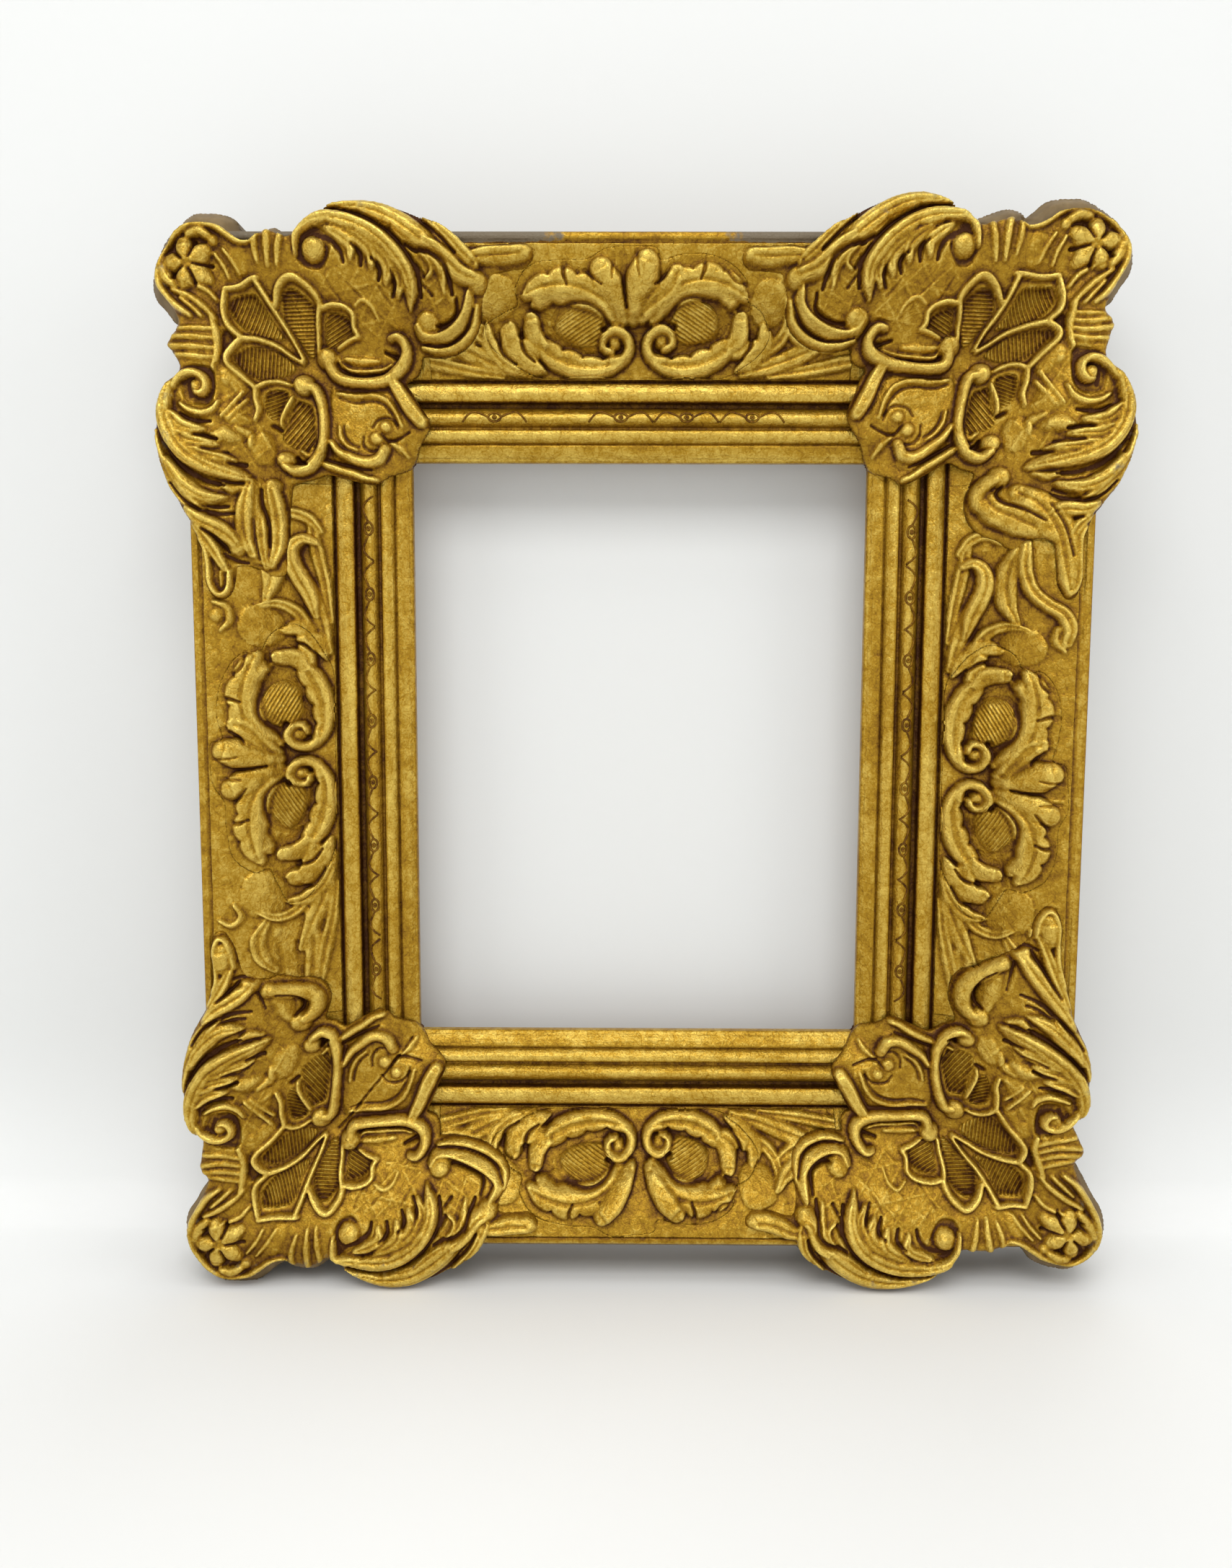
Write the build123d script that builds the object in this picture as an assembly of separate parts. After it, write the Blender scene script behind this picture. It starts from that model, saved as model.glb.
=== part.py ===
from build123d import *
import os
from math import cos, radians, sin

# A carved and gilded picture frame for a 10 by 8 inch picture.
# The frame is built face up on a bench: x to the right, y up the frame, z towards the viewer,
# with z = 0 on the flat back. The last step stands it up, so that it faces the -Y axis
# and its origin lies mid opening, on the ledge that the picture bears on.

# Driving sizes of the whole frame, in millimetres
sight_width = 190.5
sight_height = 243.7
rail_face = 81.0
rabbet_depth = 9.0
rabbet_overlap = 7.0
lobe_overhang = 19.0
overrun = 10.0

corner_reach = rail_face + lobe_overhang
half_width = sight_width / 2
half_height = sight_height / 2

# Inner moulding strip, by distance out from the sight edge and height over the back
strip_width = 21.2
sight_lip = 4.0
sight_round = 1.0
ogee_width = 12.4
ogee_rise = 5.6
ogee_step_share = 0.54
quirk_width = 1.0
quirk_depth = 1.0
bead_rise = 2.4
bead_shoulder = 9.2
strip_fit = 0.1

# Main rail section
floor_height = 15.0
channel_width = 2.1
fillet_width = 7.7
fillet_height = 20.3
fillet_round = 0.7
joint_line = 1.0
joint_depth = 1.2
cove_low = 18.2
cove_high = 48.0
cove_sag = 1.8
rim_width = 2.6
rim_lift = 0.6
rim_chamfer = 0.8
sole_swell = 3.0
sole_start = 6.0
sole_slope = 5.5

# Carved wooden blocks glued outside the rails
block_back = 3.0
block_setback = 3.0

# Cast ornament levels, measured over the moulding
ground_lift = 2.0
petal_lift = 4.0
leaf_lift = 5.5
scroll_lift = 7.5
plate_height = 23.5
plate_edge_height = 14.5
casting_inset = 2.0
petal_rim = 2.4
outline_steps = 4
stroke_steps = 3
plate_end_share = 0.8
ball_radius = 4.2
rosette_radius = 7.5
rosette_leaves = 5
rosette_leaf_share = 0.45
rosette_middle_share = 0.5
rosette_spread_share = 0.585

# Splines let into the back across each mitre
spline_width = 6.0
spline_length = 34.0
spline_depth = 4.0
spline_centre = 46.0

# Strap hangers with a hinged ring, on the backs of the side rails
strap_width = 13.0
strap_length = 32.0
strap_thickness = 1.0
strap_height_share = 0.27
strap_corner_share = 0.3
sleeve_wall = 1.2
sleeve_fit = 0.08
ring_wire = 2.6
ring_depth = 17.0
ring_gap = 0.7
ring_bend_share = 0.65
hanger_screw_near = 8.0
hanger_screw_far = 25.0
screw_shank = 3.0
screw_head = 6.0
screw_head_height = 1.7
screw_round_share = 0.4
screw_length = 14.0

# Turn buttons that hold the picture in the rabbet
button_length = 24.0
button_width = 8.0
button_thickness = 1.4
button_pivot_offset = 14.0
button_fit = 0.1
button_play = 0.2
button_screw_length = 8.0
button_side_share = 0.42

# Brads that fix the inner strips, driven through the back of each rail
brad_diameter = 1.5
brad_length = 12.0
brad_sink = 1.0
brad_share = 0.3

ground_x = strip_width + strip_fit + channel_width + fillet_width + joint_line
rim_start = rail_face - rim_width
rim_height = cove_high + rim_lift
cove_mid = ((ground_x + rim_start) / 2, (cove_low + cove_high) / 2)


def section_arc(start, end, sag):
    """An arc between two points of a section, bulging by sag to the left of its run."""
    chord = Vector(*end) - Vector(*start)
    normal = Vector(-chord.Y, chord.X).normalized()
    middle = (Vector(*start) + Vector(*end)) / 2 + normal * sag
    return ThreePointArc(start, middle, end)


def bar(section, length):
    """A section drawn as (distance out, height), run along y on both sides of zero."""
    flat = Plane.XZ * section
    return extrude(flat, amount=length / 2, both=True)


def strip_section():
    ledge = rabbet_depth
    sight = ledge + sight_lip
    ogee_end = (ogee_width, sight + ogee_rise)
    middle = (ogee_width * ogee_step_share, sight + ogee_rise * ogee_step_share)
    bead_start = ogee_width + 2 * quirk_width
    shoulder = ledge + bead_shoulder
    lines = [
        Line((0, ledge), (0, sight - sight_round)),
        Line((0, sight - sight_round), (sight_round, sight)),
        section_arc((sight_round, sight), middle, sight_round / 2),
        Line(middle, (middle[0] + quirk_width / 2, middle[1] - quirk_depth / 2)),
        section_arc((middle[0] + quirk_width / 2, middle[1] - quirk_depth / 2), ogee_end, sight_round),
        Line(ogee_end, (ogee_width + quirk_width / 2, shoulder - quirk_depth)),
        Line((ogee_width + quirk_width / 2, shoulder - quirk_depth), (bead_start, shoulder)),
        section_arc((bead_start, shoulder), (strip_width, shoulder), bead_rise),
        Line((strip_width, shoulder), (strip_width, ledge)),
        Line((strip_width, ledge), (0, ledge)),
    ]
    return make_face(lines)


def rail_section(swell):
    ledge = rabbet_depth
    seat = strip_width + strip_fit
    fillet_start = seat + channel_width
    fillet_end = fillet_start + fillet_width
    inner = rabbet_overlap
    lines = [
        Line((inner, 0), (inner, ledge)),
        Line((inner, ledge), (seat, ledge)),
        Line((seat, ledge), (seat, floor_height)),
        Line((seat, floor_height), (fillet_start, floor_height)),
        Line((fillet_start, floor_height), (fillet_start, fillet_height - fillet_round)),
        section_arc((fillet_start, fillet_height - fillet_round), (fillet_end, fillet_height - fillet_round),
                    fillet_round),
        Line((fillet_end, fillet_height - fillet_round), (fillet_end, cove_low - joint_depth)),
        Line((fillet_end, cove_low - joint_depth), (ground_x, cove_low - joint_depth)),
        Line((ground_x, cove_low - joint_depth), (ground_x, cove_low)),
        section_arc((ground_x, cove_low), cove_mid, -cove_sag),
        section_arc(cove_mid, (rim_start, cove_high), cove_sag),
        Line((rim_start, cove_high), (rim_start, rim_height)),
        Line((rim_start, rim_height), (rail_face - rim_chamfer, rim_height)),
        Line((rail_face - rim_chamfer, rim_height), (rail_face, rim_height - rim_chamfer)),
    ]
    if swell:
        low = rim_height - rim_chamfer - sole_slope
        lines += [
            Line((rail_face, rim_height - rim_chamfer), (rail_face + swell, low)),
            Line((rail_face + swell, low), (rail_face + swell, sole_start)),
            Line((rail_face + swell, sole_start), (rail_face, sole_start - swell)),
            Line((rail_face, sole_start - swell), (rail_face, 0)),
        ]
    else:
        lines += [Line((rail_face, rim_height - rim_chamfer), (rail_face, 0))]
    lines += [Line((rail_face, 0), (inner, 0))]
    return make_face(lines)


def wedge(run, reach):
    """The mitred plan of the rail whose middle lies at half the run, out along +x."""
    far = reach + overrun
    plan = Polygon((0, -run), (far, -run - far), (far, run + far), (0, run), align=None)
    return extrude(plan, amount=2 * corner_reach)


def place_side(side, solid):
    """Turn a piece drawn for a rail lying out along +x from the sight edge to its own side."""
    turns = {"right": 0, "top": 90, "left": 180, "bottom": 270}
    out = half_width if side in ("right", "left") else half_height
    return Rot(0, 0, turns[side]) * (Pos(out, 0, 0) * solid)


def side_run(side):
    return half_height if side in ("right", "left") else half_width


def make_strip(side):
    run = side_run(side)
    solid = bar(strip_section(), 2 * (run + corner_reach)) & wedge(run, strip_width)
    return place_side(side, solid)


def make_rail(side):
    run = side_run(side)
    swell = sole_swell if side == "bottom" else 0
    return place_side(side, bar(rail_section(swell), 2 * (run + corner_reach)) & wedge(run, corner_reach))


# Outlines of the carved corners, one per corner because no two were cut alike.
# Each point is a share of the corner's reach: first across the frame, then up or down it,
# both counted outwards from the corner of the picture opening.
lobe_shares = {
    "top_left": [(0.83, 0.33), (0.88, 0.355), (0.90, 0.39), (0.85, 0.475), (0.90, 0.55), (0.945, 0.66),
                 (0.91, 0.785), (0.81, 0.88), (0.68, 0.893), (0.585, 0.825), (0.535, 0.835), (0.49, 0.855),
                 (0.42, 0.825), (0.50, 0.70), (0.65, 0.62), (0.74, 0.45)],
    "top_right": [(0.82, 0.365), (0.86, 0.40), (0.885, 0.455), (0.84, 0.54), (0.895, 0.625), (0.942, 0.73),
                  (0.91, 0.845), (0.81, 0.935), (0.67, 0.948), (0.565, 0.895), (0.535, 0.875), (0.475, 0.912),
                  (0.36, 0.865), (0.45, 0.75), (0.62, 0.66), (0.72, 0.50)],
    "bottom_left": [(0.81, 0.36), (0.845, 0.395), (0.87, 0.455), (0.835, 0.545), (0.90, 0.645), (0.937, 0.75),
                    (0.91, 0.87), (0.81, 0.98), (0.70, 1.0), (0.59, 0.945), (0.51, 0.92), (0.435, 0.958),
                    (0.33, 0.90), (0.45, 0.78), (0.62, 0.68), (0.72, 0.50)],
    "bottom_right": [(0.83, 0.305), (0.87, 0.35), (0.90, 0.395), (0.86, 0.47), (0.94, 0.575), (0.995, 0.72),
                     (0.95, 0.86), (0.81, 0.92), (0.68, 0.865), (0.61, 0.858), (0.55, 0.878), (0.48, 0.872),
                     (0.41, 0.84), (0.50, 0.70), (0.66, 0.60), (0.74, 0.45)],
}
side_ear_shares = {
    "top_left": [(0.80, -0.31), (0.88, -0.21), (0.935, -0.10), (0.96, 0.05), (0.925, 0.195), (0.845, 0.295),
                 (0.74, 0.29), (0.68, 0.10), (0.70, -0.15)],
    "top_right": [(0.80, -0.34), (0.875, -0.22), (0.95, -0.07), (0.993, 0.09), (0.955, 0.235), (0.86, 0.345),
                  (0.76, 0.33), (0.70, 0.12), (0.72, -0.15)],
    "bottom_left": [(0.80, -0.24), (0.88, -0.12), (0.917, -0.01), (0.937, 0.16), (0.91, 0.28), (0.835, 0.35),
                    (0.74, 0.34), (0.68, 0.15), (0.70, -0.10)],
    "bottom_right": [(0.80, -0.29), (0.875, -0.17), (0.905, -0.06), (0.918, 0.08), (0.90, 0.21), (0.84, 0.29),
                     (0.74, 0.28), (0.68, 0.10), (0.70, -0.15)],
}
end_ear_shares = {
    "top_left": [(-0.29, 0.80), (-0.15, 0.87), (-0.05, 0.915), (0.11, 0.947), (0.24, 0.92), (0.345, 0.86),
                 (0.37, 0.74), (0.15, 0.68), (-0.10, 0.70)],
    "top_right": [(-0.29, 0.80), (-0.15, 0.90), (-0.02, 0.95), (0.11, 0.973), (0.24, 0.94), (0.335, 0.87),
                  (0.33, 0.76), (0.15, 0.70), (-0.10, 0.72)],
    "bottom_left": [(-0.32, 0.80), (-0.20, 0.888), (-0.07, 0.955), (0.10, 1.0), (0.22, 0.98), (0.32, 0.91),
                    (0.33, 0.78), (0.15, 0.72), (-0.10, 0.74)],
    "bottom_right": [(-0.32, 0.80), (-0.15, 0.87), (-0.03, 0.93), (0.13, 0.99), (0.26, 0.96), (0.39, 0.86),
                     (0.38, 0.75), (0.15, 0.70), (-0.10, 0.72)],
}
corners = list(lobe_shares)

# One corner casting serves all four corners, turned a quarter each time
field_shares = [(0.84, 0.25), (0.84, 0.50), (0.78, 0.80), (0.55, 0.80), (0.25, 0.84), (-0.10, 0.80), (-0.35, 0.70),
                (-0.34, 0.52), (-0.22, 0.41), (-0.05, 0.42), (0.05, 0.25), (0.15, 0.12), (0.25, 0.05),
                (0.36, -0.05), (0.42, -0.20), (0.55, -0.32), (0.72, -0.33), (0.82, -0.10)]
plate_shares = [(0.36, 0.37), (0.28, 0.335), (0.18, 0.31), (0.06, 0.31), (-0.02, 0.22), (-0.08, 0.14), (-0.02, 0.06),
                (0.03, 0.015), (0.07, -0.03), (0.14, -0.07), (0.23, -0.04), (0.31, 0.05), (0.335, 0.18),
                (0.35, 0.29)]
petal_shares = [
    [(0.40, 0.41), (0.52, 0.45), (0.61, 0.45), (0.66, 0.51), (0.66, 0.61), (0.56, 0.645), (0.49, 0.58)],
    [(0.39, 0.42), (0.47, 0.54), (0.475, 0.61), (0.42, 0.66), (0.345, 0.61), (0.33, 0.51), (0.35, 0.43)],
    [(0.34, 0.42), (0.325, 0.52), (0.27, 0.56), (0.20, 0.555), (0.18, 0.50), (0.25, 0.44)],
    [(0.41, 0.37), (0.50, 0.40), (0.60, 0.42), (0.66, 0.37), (0.63, 0.31), (0.55, 0.28), (0.46, 0.31)],
    [(0.44, 0.29), (0.54, 0.27), (0.575, 0.21), (0.55, 0.14), (0.51, 0.13), (0.47, 0.20)],
]
# A stroke is its run of points and its widths from end to end, all as shares of the reach
scroll_strokes_shares = [
    ([(0.27, 0.40), (0.28, 0.345), (0.19, 0.315), (0.08, 0.32), (0.0, 0.35), (-0.04, 0.41), (0.0, 0.455)],
     [0.05, 0.045, 0.04, 0.04, 0.045, 0.045, 0.035]),
    ([(0.06, 0.32), (0.02, 0.24), (-0.05, 0.16)], [0.05, 0.06, 0.05]),
    ([(0.40, 0.275), (0.345, 0.26), (0.33, 0.17), (0.335, 0.05), (0.37, -0.03), (0.43, -0.04), (0.46, 0.0)],
     [0.05, 0.045, 0.04, 0.04, 0.045, 0.045, 0.035]),
    ([(0.33, 0.06), (0.25, 0.01), (0.15, -0.045)], [0.05, 0.06, 0.05]),
]
scroll_ball_shares = [(0.27, 0.40), (0.40, 0.28), (0.03, 0.45), (0.46, 0.01)]
end_leaf_strokes_shares = [
    ([(0.35, 0.81), (0.29, 0.88), (0.17, 0.88), (0.05, 0.82), (-0.02, 0.72), (-0.04, 0.60)],
     [0.03, 0.05, 0.09, 0.09, 0.07, 0.03]),
    ([(0.22, 0.92), (0.05, 0.91), (-0.10, 0.85), (-0.22, 0.76), (-0.31, 0.64)],
     [0.02, 0.06, 0.08, 0.08, 0.05]),
    ([(-0.20, 0.80), (-0.34, 0.765), (-0.44, 0.75), (-0.53, 0.745)], [0.03, 0.05, 0.06, 0.05]),
    ([(-0.07, 0.50), (-0.14, 0.455), (-0.23, 0.46), (-0.30, 0.53), (-0.28, 0.62)],
     [0.05, 0.05, 0.05, 0.05, 0.04]),
]
side_leaf_strokes_shares = [
    ([(0.83, 0.28), (0.89, 0.22), (0.90, 0.10), (0.84, -0.02), (0.74, -0.08), (0.62, -0.10)],
     [0.03, 0.05, 0.09, 0.09, 0.07, 0.03]),
    ([(0.93, 0.14), (0.92, -0.02), (0.86, -0.15), (0.77, -0.26), (0.66, -0.35)],
     [0.02, 0.06, 0.08, 0.08, 0.05]),
    ([(0.82, -0.24), (0.78, -0.36), (0.76, -0.45), (0.75, -0.53)], [0.03, 0.05, 0.06, 0.05]),
    ([(0.52, -0.11), (0.47, -0.18), (0.48, -0.27), (0.55, -0.33), (0.63, -0.31)],
     [0.05, 0.05, 0.05, 0.05, 0.04]),
]
volute_shares = [(0.31, 0.765), (0.78, 0.245)]
volute_ring_share = 0.075
volute_band_share = 0.03
rosette_share = (0.775, 0.69)
lobe_rim_strokes_shares = [
    ([(0.80, 0.56), (0.88, 0.61), (0.905, 0.70), (0.86, 0.79), (0.75, 0.845), (0.66, 0.83), (0.59, 0.78)],
     [0.02, 0.035, 0.035, 0.035, 0.035, 0.035, 0.02]),
]
rib_strokes_shares = [
    ([(0.68, 0.38), (0.77, 0.375), (0.86, 0.385)], [0.02, 0.035, 0.02]),
    ([(0.68, 0.44), (0.76, 0.43), (0.84, 0.43)], [0.02, 0.03, 0.02]),
    ([(0.44, 0.69), (0.45, 0.75), (0.46, 0.81)], [0.02, 0.035, 0.02]),
    ([(0.50, 0.68), (0.51, 0.74), (0.52, 0.80)], [0.02, 0.03, 0.02]),
]

# The casting at the middle of each rail: one half, along the rail and then out from the sight edge
centre_half_shares = [(0.0, 0.345), (0.20, 0.345), (0.40, 0.37), (0.52, 0.42), (0.50, 0.52), (0.42, 0.62),
                      (0.36, 0.70), (0.20, 0.71), (0.08, 0.77), (0.0, 0.775)]
centre_strokes_shares = [
    ([(0.04, 0.46), (0.035, 0.41), (0.10, 0.375), (0.20, 0.38), (0.29, 0.42)],
     [0.03, 0.04, 0.045, 0.05, 0.03]),
    ([(0.14, 0.365), (0.28, 0.37), (0.37, 0.43), (0.39, 0.51), (0.43, 0.53)],
     [0.02, 0.05, 0.06, 0.06, 0.03]),
    ([(0.03, 0.53), (0.10, 0.575), (0.20, 0.61), (0.30, 0.59), (0.36, 0.53)],
     [0.03, 0.05, 0.06, 0.06, 0.03]),
    ([(0.06, 0.63), (0.15, 0.665), (0.25, 0.67), (0.34, 0.65)], [0.03, 0.05, 0.05, 0.02]),
]
centre_petal_strokes_shares = [
    ([(0.0, 0.53), (0.0, 0.64), (0.0, 0.745)], [0.03, 0.08, 0.05]),
    ([(0.015, 0.53), (0.06, 0.63), (0.085, 0.72)], [0.02, 0.06, 0.04]),
]
centre_volute_share = (0.075, 0.445)
centre_shift_shares = {"top": 0.0, "bottom": 0.0, "left": 0.0, "right": -0.08}
sides = list(centre_shift_shares)
centre_lift = 0.8
centre_ball_radius = 4.4


def blob(points):
    """A flat shape with a smooth closed outline through the points."""
    curve = Spline(*points, periodic=True)
    steps = outline_steps * len(points)
    return make_face(Polyline(*[curve @ (step / steps) for step in range(steps)], close=True))


def stroke(points, widths):
    """A flat brush stroke along a smooth run of points, its widths spread evenly from end to end."""
    spine = Spline(*points)
    spans = len(widths) - 1
    left = []
    right = []
    for step in range(stroke_steps * spans + 1):
        at = step / stroke_steps
        span = min(int(at), spans - 1)
        width = widths[span] + (widths[span + 1] - widths[span]) * (at - span)
        place = spine @ (at / spans)
        along = spine % (at / spans)
        across = Vector(-along.Y, along.X) * (width / 2)
        left.append(place + across)
        right.append(place - across)
    start_cap = (spine @ 0) - (spine % 0) * (widths[0] / 2)
    end_cap = (spine @ 1) + (spine % 1) * (widths[-1] / 2)
    return make_face(Polyline(*left, end_cap, *reversed(right), start_cap, close=True))


def corner_point(corner, share):
    """A point of a corner, given as shares of the reach, on the bench plane."""
    across = half_width + share[0] * corner_reach
    along = half_height + share[1] * corner_reach
    return (
        across if "right" in corner else -across,
        along if "top" in corner else -along,
    )


def casting_point(corner, share):
    """The same for the casting, whose two directions change places from corner to corner."""
    turned = corner in ("top_right", "bottom_left")
    return corner_point(corner, (share[1], share[0]) if turned else share)


def casting_stroke(corner, shares):
    points, widths = shares
    return stroke([casting_point(corner, share) for share in points], [w * corner_reach for w in widths])


def tall(faces):
    """Flat shapes raised to solids, taller than any relief."""
    flat = Sketch() + faces
    return extrude(flat, amount=rim_height + corner_reach / 2)


def ornament_space(lift):
    """The room under a surface that stands over the moulding by lift, for all four sides."""
    far = corner_reach + overrun
    inner = plate_edge_height + lift
    crown = plate_height + lift
    lines = [
        Line((0, 0), (0, inner)),
        Line((0, inner), (bead_shoulder, crown)),
        Line((bead_shoulder, crown), (ground_x, crown)),
        Line((ground_x, crown), (cove_mid[0] * plate_end_share, crown + cove_sag / 2)),
        section_arc((cove_mid[0] * plate_end_share, crown + cove_sag / 2), (cove_mid[0], cove_mid[1] + lift), -cove_sag / 2),
        section_arc((cove_mid[0], cove_mid[1] + lift), (rim_start, rim_height + lift), cove_sag),
        Line((rim_start, rim_height + lift), (far, rim_height + lift)),
        Line((far, rim_height + lift), (far, 0)),
        Line((far, 0), (0, 0)),
    ]
    section = make_face(lines)
    space = None
    for side in sides:
        run = side_run(side)
        one = place_side(side, bar(section, 2 * (run + far)) & wedge(run, far))
        space = one if space is None else space + one
    return space


def make_block(corner, shares, neighbours):
    """A wooden block with a carved outline, glued against the outer faces of the rails."""
    outline = blob([corner_point(corner, share) for share in shares])
    solid = Pos(0, 0, block_back) * extrude(outline, amount=rim_height - block_setback - block_back)
    return biggest(solid - neighbours)


def biggest(shape):
    """The largest solid of a shape, without slivers that a cut has left."""
    return max(shape.solids(), key=lambda solid: solid.volume)


def inset_blob(corner, shares):
    outline = blob([corner_point(corner, share) for share in shares])
    return offset(outline, amount=-casting_inset)


def petal_frame(corner, shares):
    outer = blob([casting_point(corner, share) for share in shares])
    return outer - offset(outer, amount=-petal_rim)


def disc(point, radius):
    return Pos(*point) * Circle(radius)


def volute(corner, share):
    ring = volute_ring_share * corner_reach
    band = volute_band_share * corner_reach
    return disc(casting_point(corner, share), ring) - disc(casting_point(corner, share), ring - band)


def rosette(corner):
    """A round boss with blunt leaves."""
    centre = casting_point(corner, rosette_share)
    leaf = rosette_radius * rosette_leaf_share
    spread = rosette_radius * rosette_spread_share
    faces = [disc(centre, rosette_radius * rosette_middle_share)]
    for step in range(rosette_leaves):
        turn = radians(360 / rosette_leaves * step)
        faces.append(disc((centre[0] + spread * cos(turn), centre[1] + spread * sin(turn)), leaf))
    return faces


def make_casting(corner, spaces, solids_below):
    """The ornament over one corner: ground, shell, leaves, cartouche and scrolls in rising levels."""
    ground = [
        inset_blob(corner, lobe_shares[corner]),
        inset_blob(corner, side_ear_shares[corner]),
        inset_blob(corner, end_ear_shares[corner]),
        blob([casting_point(corner, share) for share in field_shares]),
        blob([casting_point(corner, share) for share in plate_shares]),
    ]
    leaves = end_leaf_strokes_shares + side_leaf_strokes_shares
    petals = [petal_frame(corner, shares) for shares in petal_shares]
    ribs = [casting_stroke(corner, shares) for shares in rib_strokes_shares + lobe_rim_strokes_shares]
    levels = {
        "ground": ground,
        "petal": petals + ribs,
        "leaf": [casting_stroke(corner, shares) for shares in leaves] + rosette(corner),
        "scroll": [casting_stroke(corner, shares) for shares in scroll_strokes_shares]
        + [disc(casting_point(corner, share), ball_radius) for share in scroll_ball_shares]
        + [volute(corner, share) for share in volute_shares]
        + [disc(casting_point(corner, share), ball_radius) for share in volute_shares],
    }
    casting = None
    for level, faces in levels.items():
        raised = tall(faces) & spaces[level]
        casting = raised if casting is None else casting + raised
    return biggest(casting - solids_below)


def centre_point(side, share, hand):
    """A point of a rail's middle casting, on the bench plane."""
    slide = centre_shift_shares[side] * corner_reach
    run = hand * share[0] * corner_reach
    out = share[1] * corner_reach
    if side == "top":
        return (run + slide, half_height + out)
    if side == "bottom":
        return (run + slide, -half_height - out)
    if side == "left":
        return (-half_width - out, run + slide)
    return (half_width + out, run + slide)


def make_centre(side, spaces, solids_below):
    """The ornament at the middle of a rail: two mirrored scrolls with leaves round a palmette."""
    hands = (1, -1)
    ring = [centre_point(side, share, 1) for share in centre_half_shares]
    ring += [centre_point(side, share, -1) for share in reversed(centre_half_shares[1:-1])]
    scrolls = []
    for hand in hands:
        for points, widths in centre_strokes_shares + centre_petal_strokes_shares[1:]:
            places = [centre_point(side, share, hand) for share in points]
            scrolls.append(stroke(places, [width * corner_reach for width in widths]))
        scrolls.append(disc(centre_point(side, centre_volute_share, hand), centre_ball_radius))
    points, widths = centre_petal_strokes_shares[0]
    places = [centre_point(side, share, 1) for share in points]
    scrolls.append(stroke(places, [width * corner_reach for width in widths]))
    casting = (tall([blob(ring)]) & spaces["centre"]) + (tall(scrolls) & spaces["petal"])
    return biggest(casting - solids_below)


def make_spline(corner):
    """A wooden key let into the back across the mitre, with round ends."""
    middle = spline_centre
    turn = 45 if corner in ("top_left", "bottom_right") else -45
    key = extrude(SlotOverall(spline_length, spline_width), amount=spline_depth)
    across = middle / corner_reach
    return Pos(*corner_point(corner, (across, across))) * Rot(0, 0, turn) * key


def wood_screw(centre, length, up):
    """A round-headed wood screw: its shank runs up into the wood from the piece it holds."""
    shank = screw_hole(centre, length, up)
    head = Pos(*centre, -up - screw_head_height) * extrude(Circle(screw_head / 2), amount=screw_head_height)
    rim = head.edges().filter_by(GeomType.CIRCLE).sort_by(Axis.Z)[0]
    return shank + chamfer(rim, screw_head_height * screw_round_share)


def screw_hole(centre, length, up):
    return Pos(*centre, -up) * extrude(Circle(screw_shank / 2), amount=length)


sleeve_radius = ring_wire / 2 + sleeve_fit + sleeve_wall
hanger_out = rabbet_overlap + (rail_face - rabbet_overlap) / 2


def hanger_place(side):
    """The middle of the ring's hinge on the back of a side rail."""
    hand = 1 if side == "right" else -1
    return (hand * (half_width + hanger_out), half_height * 2 * strap_height_share, -sleeve_radius)


def make_strap(side):
    """A flat strap with a sleeve rolled at its upper end, screwed to the rail's back."""
    x, y, z = hanger_place(side)
    plate = Pos(x, y - strap_length / 2, -strap_thickness / 2) * Box(strap_width, strap_length, strap_thickness)
    corners_below = plate.edges().filter_by(Axis.Z).group_by(Axis.Y)[0]
    plate = fillet(corners_below, strap_width * strap_corner_share)
    sleeve = Pos(x, y, z) * Rot(0, 90, 0) * Cylinder(sleeve_radius, strap_width)
    bore = Pos(x, y, z) * Rot(0, 90, 0) * Cylinder(ring_wire / 2 + sleeve_fit, strap_width + overrun)
    solid = plate + sleeve - bore
    for down in (hanger_screw_near, hanger_screw_far):
        solid -= screw_hole((x, y - down), screw_length, strap_thickness)
    return solid


def make_ring(side):
    """A wire ring shaped like a D, its straight bar through the strap's sleeve, hanging down."""
    x, y, z = hanger_place(side)
    half = strap_width / 2 + ring_gap + ring_wire / 2
    bend = ring_wire * ring_bend_share
    low = y - ring_depth
    path = [
        Line((x - half + bend, y, z), (x + half - bend, y, z)),
        JernArc((x + half - bend, y, z), (1, 0, 0), bend, -90),
        Line((x + half, y - bend, z), (x + half, low + half, z)),
        JernArc((x + half, low + half, z), (0, -1, 0), half, -180),
        Line((x - half, low + half, z), (x - half, y - bend, z)),
        JernArc((x - half, y - bend, z), (0, 1, 0), bend, -90),
    ]
    route = Wire(path)
    section = Plane(origin=(x, y, z), z_dir=(1, 0, 0)) * Circle(ring_wire / 2)
    return sweep(section, path=route)


def make_hanger_screws():
    screws = []
    for side in ("left", "right"):
        x, y, z = hanger_place(side)
        for down in (hanger_screw_near, hanger_screw_far):
            screws.append(wood_screw((x, y - down), screw_length, strap_thickness))
    return screws


def button_places():
    """Each turn button's pivot and whether it lies along x when it is turned aside."""
    out = rabbet_overlap + button_pivot_offset
    along = half_height * button_side_share
    return {
        "top": ((0, half_height + out), True),
        "bottom": ((0, -half_height - out), True),
        "left": ((-half_width - out, along), False),
        "right": ((half_width + out, along), False),
    }


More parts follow.
